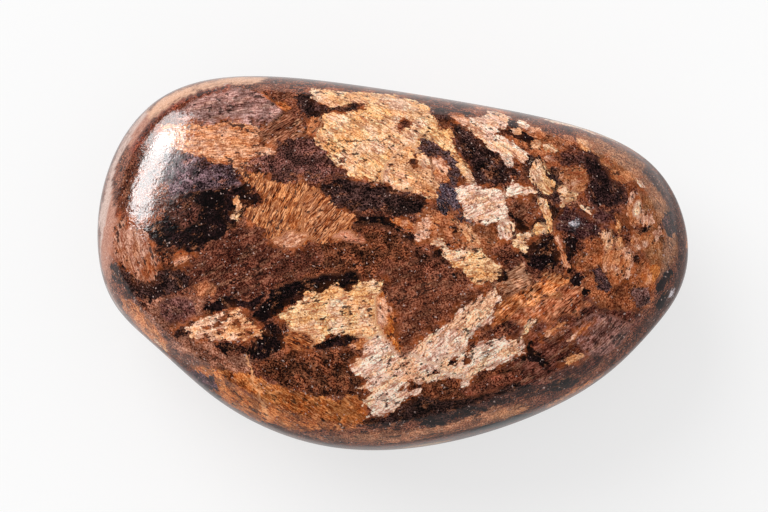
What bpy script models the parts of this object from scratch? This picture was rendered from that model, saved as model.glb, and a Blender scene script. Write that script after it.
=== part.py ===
"""A tumbled and polished bronzite stone, lying on its flattest side.

Metres, +Z up. The origin is on the resting plane, under the middle of the stone. +X runs along the
stone to its narrow end, and +Y runs across it.

The stone is one solid. It began as a broken lump with flat faces, and tumbling wore the lump round:
WORN_FACES are those faces, and WEAR says how far their edges are gone.
"""

import bmesh
import bpy
from math import cos, exp, pi, radians, sin, tan
from mathutils import Vector

MM = 0.001

# Driving dimensions, in millimetres, measured from the heart of the stone
HALF_LENGTH = 16.0
HALF_WIDTH = 10.2
HALF_HEIGHT = 6.7
# The stone lies on a small flat, this far below its heart
REST_DEPTH = 6.38
# How far apart the corners of the mesh are
CELL = 0.9
# Low is a pebble worn nearly to an egg, and high is a block that still has its edges
WEAR = 8.0

# The faces of the lump: the direction that each looks in, as degrees round from +X and degrees above
# the horizon, and its distance from the heart
WORN_FACES = {
    "crown": (5, 87, 7.7),
    "underside": (0, -90, 6.9),
    "far flank": (80, 4, 9.3),
    "far flank, narrow end": (61, 2, 19.6),
    "narrow end, far half": (27, 2, 16.7),
    "narrow end, near half": (-10, 0, 25.0),
    "near flank, narrow end": (-44, -2, 13.5),
    "near flank": (-75, -4, 10.4),
    "belly": (-101, -4, 11.5),
    "near shoulder, right": (-113, -4, 14.5),
    "near shoulder, left": (-133, -4, 12.7),
    "broad end": (169, 4, 17.4),
    "broad end, far corner": (152, 4, 23.0),
    "far shoulder": (108, 4, 14.3),
    "upper far bevel": (82, 45, 10.75),
    "upper narrow bevel, far": (35, 45, 13.4),
    "upper narrow bevel, near": (-15, 45, 13.9),
    "upper near bevel": (-65, 45, 11.2),
    "upper shoulder bevel": (-128, 42, 12.8),
    "upper broad bevel": (176, 44, 16.5),
    "upper far corner bevel": (130, 45, 14.7),
    "crown's far slope": (88, 68, 8.5),
    "crown's near slope": (-95, 68, 8.7),
    "crown's narrow slope": (-5, 70, 9.2),
    "crown's broad slope": (172, 72, 7.8),
    "lower far bevel": (75, -42, 10.2),
    "lower narrow bevel": (15, -42, 14.1),
    "lower near bevel": (-45, -42, 11.9),
    "lower belly bevel": (-110, -42, 10.8),
    "lower broad bevel": (-165, -42, 14.0),
    "lower far corner bevel": (125, -42, 13.3),
    "underside's far slope": (95, -70, 7.8),
    "underside's near slope": (-80, -70, 7.9),
    "underside's narrow slope": (5, -72, 8.6),
    "underside's broad slope": (175, -72, 8.8),
}

# Broad swells, and hollows with a minus sign: degrees round and above as before, how wide in degrees,
# and how high in millimetres
SWELLS = {
    "heel of the broad end": (-172, -4, 9, 0.35),
    "flat above the near shoulder": (-157, -6, 12, -0.35),
    "dip beside the narrow end": (-17, -6, 8, -0.5),
}


def facing(around, above):
    """The unit vector that looks this many degrees round from +X, and above the horizon."""
    turn = radians(around)
    lift = radians(above)
    return Vector((cos(lift) * cos(turn), cos(lift) * sin(turn), sin(lift)))


FACES = [(facing(around, above), distance) for around, above, distance in WORN_FACES.values()]
CENTRES = [
    (facing(around, above), radians(width), height) for around, above, width, height in SWELLS.values()
]


def reach(direction):
    """How far the surface is from the heart in this direction, in millimetres."""
    crowding = sum(
        (direction.dot(normal) / distance) ** WEAR
        for normal, distance in FACES
        if direction.dot(normal) > 0
    )
    swelling = sum(
        height * exp(-((direction.angle(centre) / width) ** 2)) for centre, width, height in CENTRES
    )
    return crowding ** (-1 / WEAR) + swelling


def cut_into_cells(cube, axis, half_size):
    """Cuts the four edges of the cube that run along this axis, and what they bound, into cells."""
    along = [
        edge
        for edge in cube.edges
        if edge.verts[0].co[axis] * edge.verts[1].co[axis] < 0
    ]
    cuts = round(2 * half_size / CELL) - 1
    bmesh.ops.subdivide_edges(cube, edges=along, cuts=cuts, use_grid_fill=True)


def middle(corners, axis):
    """Half way between the lowest and the highest corner along this axis."""
    places = [corner.co[axis] for corner in corners]
    return (min(places) + max(places)) / 2


def make_stone():
    """Cuts a cube into cells, and moves each corner of a cell out from the heart to the surface."""
    half_sizes = (HALF_LENGTH, HALF_WIDTH, HALF_HEIGHT)
    lump = bmesh.new()
    bmesh.ops.create_cube(lump, size=2)
    for axis, half_size in enumerate(half_sizes):
        cut_into_cells(lump, axis, half_size)

    for corner in lump.verts:
        # The tangent evens out the cells, which a cube blown up to a ball crowds at its corners
        outward = [tan(side * pi / 4) * half_size for side, half_size in zip(corner.co, half_sizes)]
        direction = Vector(outward).normalized()
        corner.co = direction * reach(direction)
        corner.co.z = max(corner.co.z, -REST_DEPTH)

    to_origin = (-middle(lump.verts, 0), -middle(lump.verts, 1), REST_DEPTH)
    bmesh.ops.translate(lump, verts=lump.verts, vec=to_origin)
    bmesh.ops.scale(lump, verts=lump.verts, vec=(MM, MM, MM))
    bmesh.ops.recalc_face_normals(lump, faces=lump.faces)

    mesh = bpy.data.meshes.new("bronzite_stone")
    lump.to_mesh(mesh)
    lump.free()
    mesh.shade_smooth()
    stone = bpy.data.objects.new("bronzite_stone", mesh)
    bpy.context.scene.collection.objects.link(stone)
    return stone


def make_polished_bronzite():
    """The stone's mean colour, a warm brown, under its polish."""
    material = bpy.data.materials.new("polished bronzite")
    material.use_nodes = True
    surface = material.node_tree.nodes["Principled BSDF"]
    surface.inputs["Base Color"].default_value = (0.16, 0.065, 0.03, 1)
    surface.inputs["Roughness"].default_value = 0.18
    surface.inputs["Metallic"].default_value = 0.0
    return material


for old in list(bpy.data.objects):
    bpy.data.objects.remove(old)

stone = make_stone()
stone.data.materials.append(make_polished_bronzite())
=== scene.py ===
from math import cos, pi, radians, sin

import bmesh
import bpy
import numpy as np
from mathutils import Matrix, Vector


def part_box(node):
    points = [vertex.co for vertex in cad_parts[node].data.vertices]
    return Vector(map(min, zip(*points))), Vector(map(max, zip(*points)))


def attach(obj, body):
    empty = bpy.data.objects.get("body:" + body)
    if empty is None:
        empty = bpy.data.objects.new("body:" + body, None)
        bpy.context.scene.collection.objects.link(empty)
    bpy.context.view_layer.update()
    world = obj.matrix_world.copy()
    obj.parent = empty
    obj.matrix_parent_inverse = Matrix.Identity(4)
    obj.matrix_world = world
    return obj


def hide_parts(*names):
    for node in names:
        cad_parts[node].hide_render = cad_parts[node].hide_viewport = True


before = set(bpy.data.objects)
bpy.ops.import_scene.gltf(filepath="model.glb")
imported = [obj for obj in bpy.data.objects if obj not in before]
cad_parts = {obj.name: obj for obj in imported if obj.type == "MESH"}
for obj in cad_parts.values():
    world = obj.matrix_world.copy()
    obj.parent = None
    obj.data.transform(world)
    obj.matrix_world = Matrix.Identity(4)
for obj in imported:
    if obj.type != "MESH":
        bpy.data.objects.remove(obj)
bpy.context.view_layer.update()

# The camera looks down on the stone, almost upright, from a hand's length away, as the photo does.
# Everything drawn on the stone below is placed in the camera's plane: x runs right and y runs up, in
# millimetres, from the stone's heart.
MM = 0.001
HEART = Vector((0, 0, 6.38 * MM))
CAMERA_HEIGHT_DEGREES = 80
CAMERA_DISTANCE = 0.25
SENSOR_WIDTH_MM = 36
PHOTO_WIDTH = 768
PHOTO_HEIGHT = 512
PHOTO_PIXEL = 0.05417 * MM
HEART_PIXEL_X = 392.65
HEART_PIXEL_Y = 264.07

camera_height = radians(CAMERA_HEIGHT_DEGREES)
to_camera = Vector((0, -cos(camera_height), sin(camera_height)))
picture_right = Vector((1, 0, 0))
picture_up = to_camera.cross(picture_right)

bpy.ops.object.select_all(action="DESELECT")
bpy.ops.object.camera_add(location=HEART + to_camera * CAMERA_DISTANCE)
camera = bpy.context.object
camera.name = "camera"
camera.rotation_euler = (pi / 2 - camera_height, 0, 0)
camera.data.sensor_width = SENSOR_WIDTH_MM
camera.data.lens = SENSOR_WIDTH_MM * CAMERA_DISTANCE / (PHOTO_WIDTH * PHOTO_PIXEL)
camera.data.shift_x = (PHOTO_WIDTH / 2 - HEART_PIXEL_X) / PHOTO_WIDTH
camera.data.shift_y = (HEART_PIXEL_Y - PHOTO_HEIGHT / 2) / PHOTO_WIDTH
bpy.context.scene.camera = camera

# The stone's outside: one worn and polished skin. It is a fine ball of square cells, drawn onto a
# rounded copy of the solid, so that the polish shows no flat facets.
CELLS_ALONG = (12, 16)
CELLS_ACROSS = (10, 12)
CELLS_UP = (8, 10)
SAME_PLACE = 0.001 * MM
ROUNDING = 2
EVENING_OUT = 8


def draw_onto(piece, mould):
    """Moves every corner of a piece to the nearest place on the mould."""
    wrap = piece.modifiers.new("draw on", "SHRINKWRAP")
    wrap.target = mould
    wrap.wrap_method = "NEAREST_SURFACEPOINT"
    bpy.ops.object.modifier_apply(modifier=wrap.name)


low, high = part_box("bronzite_stone")
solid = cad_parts["bronzite_stone"]
bpy.ops.object.select_all(action="DESELECT")
solid.select_set(True)
bpy.context.view_layer.objects.active = solid
bpy.ops.object.duplicate()
mould = bpy.context.object
bpy.ops.object.mode_set(mode="EDIT")
bpy.ops.mesh.select_all(action="SELECT")
bpy.ops.mesh.remove_doubles(threshold=SAME_PLACE)
bpy.ops.mesh.tris_convert_to_quads()
bpy.ops.object.mode_set(mode="OBJECT")
rounded = mould.modifiers.new("rounded", "SUBSURF")
rounded.levels = ROUNDING
rounded.render_levels = ROUNDING
bpy.ops.object.modifier_apply(modifier=rounded.name)

bpy.ops.object.select_all(action="DESELECT")
bpy.ops.mesh.primitive_cube_add(size=2, location=(low + high) / 2)
stone = bpy.context.object
stone.name = "polished_stone"
stone.data.name = "polished_stone"
bpy.ops.object.mode_set(mode="EDIT")
bpy.ops.mesh.select_mode(type="EDGE")
for axis, steps in enumerate((CELLS_ALONG, CELLS_ACROSS, CELLS_UP)):
    for cells in steps:
        bpy.ops.mesh.select_all(action="DESELECT")
        cage = bmesh.from_edit_mesh(stone.data)
        for edge in cage.edges:
            run = edge.verts[0].co - edge.verts[1].co
            edge.select_set(abs(run[axis]) > run.length / 2)
        bmesh.update_edit_mesh(stone.data)
        bpy.ops.mesh.subdivide(number_cuts=cells - 1)
bpy.ops.mesh.select_all(action="SELECT")
bpy.ops.transform.tosphere(value=1)
bpy.ops.object.mode_set(mode="OBJECT")
stone.dimensions = high - low
bpy.ops.object.transform_apply(location=True, rotation=True, scale=True)

draw_onto(stone, mould)
evened = stone.modifiers.new("evened out", "SMOOTH")
evened.iterations = EVENING_OUT
bpy.ops.object.modifier_apply(modifier=evened.name)
draw_onto(stone, mould)
bpy.ops.object.shade_smooth()
bpy.data.objects.remove(mould)

# How a marking lies on the stone. The mineral grew as blades, and polishing cut through them, so a
# marking is an outline on the surface, with a grain that runs its own way. Each corner of the skin
# keeps how deep it lies inside one, and the grain and the colour of the last one laid over it.
OUTSIDE = -3.0
FADE_PER_FACING = 5.0
LEAST_FACING = 0.35
OFFSET_OF_GRAIN = 17.3
SCREEN_GAMMA = 2.2
SMOOTH = 0.0
GRANULAR = 0.25
FIBROUS = 1.0
RIM_STEPS = (1.0, 0.99, 0.98, 0.97, 0.96, 0.95, 0.94, 0.93, 0.92)

corner_count = len(stone.data.vertices)
corners = np.empty(corner_count * 3)
stone.data.vertices.foreach_get("co", corners)
corners = corners.reshape(-1, 3) / MM
facings = np.empty(corner_count * 3)
stone.data.vertices.foreach_get("normal", facings)
facings = facings.reshape(-1, 3)
bpy.context.view_layer.update()


def colour(red, green, blue):
    """A colour as it looks in the photo, from 0 to 255, as the material needs it."""
    return tuple((value / 255) ** SCREEN_GAMMA for value in (red, green, blue)) + (GRANULAR,)


def fibrous(tint):
    """The same colour on a mineral that splits into fibres. The fourth value of a colour says so."""
    return tint[:3] + (FIBROUS,)


def half_fibrous(tint):
    """The same colour on a mineral that splits into fibres only here and there."""
    return tint[:3] + ((GRANULAR + FIBROUS) / 2,)


def smooth(tint):
    """The same colour on a mineral with hardly any grain."""
    return tint[:3] + (SMOOTH,)


def half_smooth(tint):
    """The same colour on a mineral with a faint grain."""
    return tint[:3] + ((SMOOTH + GRANULAR) / 2,)


UNMARKED_BROWN = colour(90, 55, 42)


def touch(x, y):
    """The place on the stone that the camera sees at this point of its plane, and the way it faces.

    A point just beside the stone is drawn in until it meets the rim.
    """
    eye = HEART + to_camera * CAMERA_DISTANCE
    for share in RIM_STEPS:
        aim = HEART + (picture_right * x + picture_up * y) * MM * share
        hit, place, facing, _ = stone.ray_cast(eye, (aim - eye).normalized())
        if hit:
            return np.array(place) / MM, np.array(facing)
    raise ValueError("the point (%.1f, %.1f) is far beside the stone" % (x, y))


def grain_axes(facing, along):
    """Three directions of a blade: along its grain, across it, and out of the stone."""
    along = along - facing * along.dot(facing)
    along = along / np.linalg.norm(along)
    return np.array((along, np.cross(facing, along), facing))


def lie_on_stone(outline, grain):
    """Lays an outline from the camera's plane on the stone. Gives its middle, its axes and its outline."""
    places = np.array([touch(x, y)[0] for x, y in outline])
    middle_x = sum(x for x, y in outline) / len(outline)
    middle_y = sum(y for x, y in outline) / len(outline)
    middle, facing = touch(middle_x, middle_y)
    turn = radians(grain)
    axes = grain_axes(facing, np.array(picture_right * cos(turn) + picture_up * sin(turn)))
    return middle, axes, (places - middle) @ axes[:2].T


def depth_inside(outline, points):
    """How far each point is inside the outline, in millimetres, with a minus sign outside it."""
    nearest = np.full(len(points), np.inf)
    inside = np.zeros(len(points), bool)
    for start, end in zip(outline, np.roll(outline, -1, axis=0)):
        side = end - start
        share = np.clip((points - start) @ side / (side @ side), 0, 1)
        nearest = np.minimum(nearest, np.linalg.norm(points - start - share[:, None] * side, axis=1))
        crosses = (start[1] > points[:, 1]) != (end[1] > points[:, 1])
        # A level side crosses no point's height, so any rise will do for it
        rise = side[1] or 1.0
        inside ^= crosses & (points[:, 0] < start[0] + side[0] * (points[:, 1] - start[1]) / rise)
    return np.where(inside, nearest, -nearest)


class Layer:
    """All the markings of one kind: how deep each corner of the skin is in one, its grain and colour."""

    def __init__(self, name):
        self.name = name
        self.depth = np.full(corner_count, OUTSIDE)
        self.grain = np.zeros((corner_count, 3))
        self.colour = np.tile(UNMARKED_BROWN, (corner_count, 1))
        self.count = 0

    def add(self, middle, axes, outline, tint, limit=None):
        """Lays one marking over those before it. limit keeps it to a part of the stone."""
        self.count += 1
        radius = np.linalg.norm(outline, axis=1).max() - OUTSIDE
        near = np.flatnonzero(np.linalg.norm(corners - middle, axis=1) < radius)
        local = (corners[near] - middle) @ axes.T
        depth = depth_inside(outline, local[:, :2])
        depth = np.minimum(depth, (facings[near] @ axes[2] - LEAST_FACING) * FADE_PER_FACING)
        if limit is not None:
            depth = np.minimum(depth, limit[near])
        covers = (depth > 0) | (depth > self.depth[near])
        chosen = near[covers]
        self.depth[chosen] = np.maximum(depth[covers], self.depth[chosen])
        self.grain[chosen] = local[covers] + self.count * OFFSET_OF_GRAIN
        self.colour[chosen] = tint

    def draw(self, markings):
        """Adds every marking that was drawn in the camera's plane."""
        for tint, grain, outline in markings.values():
            self.add(*lie_on_stone(outline, grain), tint)

    def lay_over(self, others):
        """Lays all the markings of another layer over this one."""
        covers = (others.depth > 0) | (others.depth > self.depth)
        self.depth = np.maximum(self.depth, others.depth)
        self.grain[covers] = others.grain[covers]
        self.colour[covers] = others.colour[covers]

    def write(self):
        """Keeps the layer on the stone's mesh, for its material to read."""
        mesh = stone.data
        depth = mesh.attributes.new(self.name + " depth", "FLOAT", "POINT")
        depth.data.foreach_set("value", self.depth)
        grain = mesh.attributes.new(self.name + " grain", "FLOAT_VECTOR", "POINT")
        grain.data.foreach_set("vector", self.grain.ravel())
        tint = mesh.attributes.new(self.name + " colour", "FLOAT_COLOR", "POINT")
        tint.data.foreach_set("color", self.colour.ravel())


# The brown fields: the altered mass between the blades, chocolate to rust. A few are partly painted
# light: pale rims of the upper left with a painted reflection, and lilac fibres with a painted sheen.
# Each one is written as (its colour, the way its fibres run in degrees, its outline), and lies over
# those before it.
CHOCOLATE = colour(90, 47, 34)
RED_BROWN = colour(110, 60, 42)
DUSTY_BROWN = colour(140, 88, 68)
RUST = colour(150, 86, 56)
ORANGE = colour(184, 110, 66)
TAN = colour(170, 112, 82)
# The lilac brown holds a painted sheen, and the peach and milky white a painted reflection of the rims
LILAC_BROWN_AND_SHEEN = colour(168, 124, 115)
PEACH_AND_REFLECTION = smooth(colour(214, 164, 134))
MILKY_REFLECTION = smooth(colour(198, 168, 156))

FIELDS = {
    # Partly painted sheen: brown fibres under a faint lilac reflection painted into their colour
    "lilac fibres and painted sheen of the upper left": (half_fibrous(LILAC_BROWN_AND_SHEEN), -3, [
        (-12.6, 8.0), (-11.6, 8.6), (-10.6, 9.1), (-9.0, 9.5), (-7.6, 9.4), (-6.9, 9.1), (-6.2, 8.5),
        (-6.0, 8.0), (-6.6, 7.6), (-7.3, 7.4), (-8.0, 7.6), (-9.0, 7.8), (-10.0, 7.5), (-11.3, 7.7)]),
    # Partly painted reflection: the rim's own peach, lightened by a painted reflection of the sheet
    "peach rim and painted reflection of the top": (PEACH_AND_REFLECTION, 5, [
        (-11.0, 9.5), (-10.2, 10.0), (-8.8, 10.2), (-7.0, 10.1), (-7.2, 9.85), (-8.8, 9.75),
        (-10.2, 9.4)]),
    "orange streak of the top edge": (colour(190, 98, 50), -30, [
        (-7.2, 9.25), (-6.6, 9.3), (-6.0, 8.9), (-5.6, 8.4), (-6.1, 8.45), (-6.7, 8.9)]),
    # Partly painted reflection, as on the top rim
    "peach rim and painted reflection of the upper left": (PEACH_AND_REFLECTION, 45, [
        (-13.8, 8.0), (-12.3, 9.2), (-10.9, 9.8), (-10.6, 9.25), (-11.8, 8.75), (-13.3, 7.6)]),
    # Painted reflection: the bright sheet as mirrored by the left rim, painted as a milky band
    "painted milky reflection on the left rim": (MILKY_REFLECTION, 75, [
        (-15.2, -3.6), (-16.0, -2.4), (-16.3, -0.8), (-16.0, 3.0), (-15.5, 5.4), (-14.7, 7.4),
        (-13.6, 8.5), (-13.2, 7.7), (-14.2, 6.6), (-14.8, 5.2), (-15.1, 3.4), (-15.3, 1.4), (-15.6, 0.0),
        (-15.6, -1.2), (-15.3, -2.4)]),
    # The painted reflection fading into the rim's tan
    "tan fade of the painted reflection on the left rim": (smooth(colour(176, 122, 102)), 75, [
        (-15.9, -1.6), (-15.8, 0.0), (-15.5, 2.5), (-15.0, 4.8), (-14.2, 6.8), (-13.3, 8.1),
        (-13.0, 7.5), (-13.9, 6.5), (-14.5, 5.1), (-14.8, 3.4), (-15.0, 1.4), (-15.3, 0.0),
        (-15.4, -1.6)]),
    "red line inside the rim": (colour(128, 62, 44), 50, [
        (-15.0, 2.6), (-14.9, 4.0), (-14.6, 5.4), (-14.0, 6.7), (-13.2, 7.7), (-11.8, 8.75),
        (-10.6, 9.3), (-8.8, 9.75), (-8.8, 9.4), (-10.5, 9.0), (-11.6, 8.3), (-12.9, 7.4),
        (-13.7, 6.3), (-14.2, 5.2), (-14.4, 3.9), (-14.5, 2.7)]),
    "rust above the dark field": (fibrous(colour(126, 74, 52)), 35, [
        (-7.2, 7.3), (-6.5, 7.8), (-6.0, 8.2), (-5.3, 7.8), (-4.6, 7.4), (-4.2, 6.9), (-5.0, 6.8),
        (-6.1, 6.6), (-6.6, 6.2), (-7.2, 6.5)]),
    "red-brown top edge": (RED_BROWN, -25, [
        (-7.2, 9.75), (-6.2, 9.8), (-5.0, 9.6), (-4.4, 9.4), (-4.6, 9.0), (-5.2, 8.4), (-5.8, 8.8),
        (-6.4, 8.8), (-7.0, 9.2)]),
    "brown of the left edge": (RED_BROWN, 75, [
        (-14.9, 5.6), (-14.3, 6.6), (-14.0, 5.5), (-14.0, 4.0), (-13.9, 2.8), (-14.6, 2.7),
        (-15.1, 3.2), (-15.2, 4.5)]),
    "brown field of the middle left": (CHOCOLATE, 25, [
        (-11.6, -0.1), (-10.9, 0.3), (-10.0, 0.9), (-9.2, 1.7), (-8.2, 2.1), (-7.2, 2.1), (-6.8, 1.6),
        (-6.2, 1.0), (-5.0, 0.9), (-3.9, 1.0), (-4.0, 0.0), (-5.0, -0.8), (-6.5, -1.3), (-8.0, -2.0),
        (-9.5, -1.9), (-10.2, -1.8), (-11.0, -1.3), (-11.6, -1.0), (-11.2, -0.6)]),
    "rusty patch in that field": (RUST, 20, [
        (-10.9, -1.2), (-10.1, -0.9), (-9.5, -1.2), (-9.6, -1.7), (-10.4, -1.8)]),
    "dusty field of the lower left": (DUSTY_BROWN, -15, [
        (-13.3, -2.0), (-12.5, -1.8), (-11.3, -1.5), (-10.3, -2.0), (-10.2, -2.8), (-11.0, -3.2),
        (-11.8, -3.5), (-11.5, -3.9), (-10.2, -4.1), (-9.5, -4.2), (-9.6, -4.7), (-9.0, -5.0),
        (-8.0, -4.9), (-7.6, -5.4), (-8.0, -5.9), (-9.5, -5.6), (-10.9, -5.4), (-11.6, -5.2),
        (-12.4, -4.5), (-13.2, -3.6), (-13.8, -2.8)]),
    "dusty violet patch of the lower left": (colour(96, 58, 52), -20, [
        (-12.6, -2.0), (-11.6, -1.7), (-10.8, -2.0), (-10.6, -2.7), (-11.2, -3.2), (-12.0, -3.3),
        (-12.6, -2.8)]),
    "orange left rim below": (ORANGE, -50, [
        (-14.6, -2.0), (-13.9, -2.2), (-13.6, -2.6), (-12.9, -3.4), (-12.2, -4.3), (-12.6, -4.5),
        (-13.6, -3.6), (-14.4, -2.7)]),
    "orange field of the lower left": (half_fibrous(colour(178, 100, 52)), -38, [
        (-11.0, -5.4), (-10.2, -5.5), (-9.0, -5.8), (-8.0, -5.9), (-7.2, -6.1), (-6.4, -6.5),
        (-5.5, -6.9), (-4.2, -7.1), (-3.1, -7.3), (-2.2, -7.1), (-1.8, -7.3), (-1.5, -7.8), (-1.4, -8.2),
        (-1.7, -8.6), (-2.3, -8.9), (-3.3, -9.0), (-4.6, -9.1), (-6.0, -8.8), (-7.0, -8.6), (-8.0, -8.2),
        (-9.0, -7.7), (-9.6, -7.2), (-10.0, -6.6), (-10.5, -6.1)]),
    "brown heart of the middle": (RED_BROWN, 20, [
        (-0.8, 0.4), (0.2, 0.2), (1.2, -0.1), (1.8, -0.6), (2.9, -0.9), (3.6, -1.0), (4.4, -1.0),
        (5.0, -1.2), (4.9, -1.7), (4.3, -2.1), (3.6, -2.4), (3.4, -3.0), (2.5, -3.5), (1.6, -4.1),
        (0.9, -4.8), (0.4, -5.0), (0.0, -4.4), (-0.5, -3.4), (-0.7, -2.4), (-0.4, -1.6), (-0.7, -1.0)]),
    "mottled brown right of the middle": (RUST, -15, [
        (1.3, 2.2), (1.8, 3.2), (2.4, 3.0), (3.0, 3.0), (3.6, 2.4), (4.4, 2.0), (5.5, 2.2), (5.7, 1.6),
        (5.6, 0.8), (5.0, 0.6), (4.0, 0.8), (2.9, 0.9), (2.2, 1.3), (1.6, 0.9), (1.2, 1.2)]),
    "red-brown field of the lower right": (half_fibrous(colour(104, 57, 45)), 32, [
        (5.2, -3.5), (6.4, -3.0), (7.2, -2.3), (8.4, -1.9), (9.4, -1.5), (10.4, -1.4), (11.2, -1.5),
        (12.2, -1.9), (13.2, -2.5), (13.5, -3.0), (12.8, -3.9), (12.0, -4.8), (11.0, -5.7), (9.6, -6.4),
        (8.2, -6.9), (6.8, -7.2), (5.2, -7.2), (4.4, -6.4), (5.2, -5.7), (6.4, -5.2), (7.2, -4.5),
        (7.0, -4.0), (5.8, -3.8)]),
    "violet veil of the lower right": (half_fibrous(colour(136, 90, 80)), 40, [
        (9.8, -3.2), (10.8, -2.7), (12.0, -2.8), (12.9, -3.3), (12.5, -4.2), (11.6, -4.9), (10.6, -5.0),
        (9.9, -4.2)]),
    "rust streaks below them": (fibrous(colour(168, 94, 62)), 38, [
        (6.3, -3.0), (7.0, -2.2), (8.2, -1.8), (9.3, -1.2), (10.3, -0.9), (10.8, -1.3), (10.2, -1.9),
        (10.9, -2.2), (10.0, -2.5), (10.2, -2.9), (9.2, -2.7), (8.6, -3.4), (8.0, -2.9), (7.3, -3.5)]),
    "orange streaks right of the swallowtail": (fibrous(colour(206, 122, 72)), 38, [
        (5.4, -3.5), (5.7, -2.7), (6.2, -1.8), (6.8, -1.5), (7.5, -1.2), (8.2, -0.6), (9.0, -0.3),
        (9.3, -0.5), (9.5, -1.0), (9.0, -1.3), (9.2, -1.8), (8.2, -1.8), (7.7, -2.3), (7.0, -2.3),
        (6.4, -2.8), (6.0, -3.3)]),
    "tan streaks above them": (fibrous(TAN), 22, [
        (5.6, -1.1), (6.3, -0.3), (7.0, 0.0), (7.6, -0.6), (7.4, -1.2), (6.6, -1.6), (6.0, -1.8)]),
    "rust field of the narrow end": (colour(150, 82, 50), 35, [
        (9.9, 0.9), (10.6, 1.4), (11.3, 1.3), (11.6, 0.6), (11.9, 0.0), (12.9, 0.0), (13.6, 0.5),
        (14.3, -0.4), (14.6, -1.0), (14.2, -1.6), (14.2, -2.2), (13.4, -2.6), (12.3, -2.5),
        (11.2, -2.4), (10.5, -1.6), (10.2, -0.6), (9.7, 0.0)]),
    "orange rim of the narrow end": (half_smooth(colour(156, 100, 66)), -70, [
        (13.4, 3.7), (14.2, 3.9), (14.8, 3.3), (15.2, 2.6), (15.5, 1.6), (15.5, 0.6), (15.0, -0.2),
        (14.5, -0.7), (14.1, -0.4), (13.8, 0.3), (13.5, 1.0), (13.4, 1.7), (14.1, 2.0), (13.7, 2.6),
        (13.5, 3.1)]),
    "brown rim above the narrow end": (half_smooth(colour(160, 102, 68)), -40, [
        (9.9, 7.15), (10.7, 6.9), (11.8, 6.45), (12.9, 5.9), (13.9, 5.2), (14.7, 4.4), (15.2, 3.6),
        (14.5, 2.8), (13.9, 3.7), (13.5, 4.3), (12.8, 4.6), (11.9, 4.9), (11.2, 5.4), (10.7, 6.2),
        (10.1, 6.5)]),
    "dark rim of the narrow end": (half_smooth(colour(84, 52, 44)), -60, [
        (13.7, 5.4), (14.6, 4.6), (15.4, 3.5), (15.9, 2.0), (16.0, 0.6), (15.9, -0.8), (15.5, -1.8),
        (14.8, -2.9), (13.8, -3.8), (13.6, -3.3), (14.4, -2.4), (15.0, -1.5), (15.4, -0.3), (15.45, 1.0),
        (15.3, 2.1), (14.9, 3.2), (14.2, 4.2), (13.5, 5.0)]),
    "rust behind the beads": (RUST, -20, [
        (7.0, 7.6), (8.2, 7.3), (9.6, 6.9), (10.0, 6.5), (9.4, 6.2), (8.6, 6.1), (8.4, 5.9), (7.6, 5.7),
        (7.3, 6.1), (6.6, 6.8), (6.4, 7.4)]),
    "round red-brown patch": (RED_BROWN, 40, [
        (6.2, 3.3), (6.8, 3.6), (7.6, 3.5), (7.9, 3.1), (8.0, 2.5), (7.8, 2.1), (7.2, 2.0), (6.8, 2.3),
        (6.4, 2.8)]),
    "dark field left of the narrow end": (colour(72, 42, 40), -10, [
        (8.7, 3.2), (9.3, 3.0), (10.2, 3.1), (11.2, 3.0), (12.3, 3.0), (12.0, 2.2), (11.2, 1.8),
        (10.3, 1.4), (9.6, 1.6), (9.0, 1.7), (8.7, 2.2)]),
    "tan rim of the belly": (colour(168, 106, 74), 4, [
        (-4.5, -9.3), (-2.5, -9.1), (-0.5, -9.0), (1.0, -9.0), (2.6, -8.8), (3.6, -8.4), (5.0, -7.9),
        (6.0, -7.7), (7.2, -7.8), (6.4, -8.2), (5.0, -8.7), (3.0, -9.2), (0.5, -9.6), (-2.0, -9.7),
        (-3.6, -9.6)]),
    "tan lens in that rim": (half_smooth(colour(196, 128, 86)), 20, [
        (5.2, -8.3), (5.7, -8.0), (6.5, -7.75), (7.3, -7.65), (7.4, -7.85), (6.6, -8.2), (5.9, -8.45)]),
}
fields = Layer("field")
fields.draw(FIELDS)

# The dark patches: black and violet-brown pyroxene between the bright blades. They are written as the
# fields are. Three are painted light instead or in part: a violet haze beside the highlight and two
# glints.
BLACK = colour(21, 12, 12)
INK = colour(48, 30, 27)
COFFEE = colour(94, 48, 30)
VIOLET = colour(82, 60, 64)
MAROON = colour(92, 48, 34)

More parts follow.
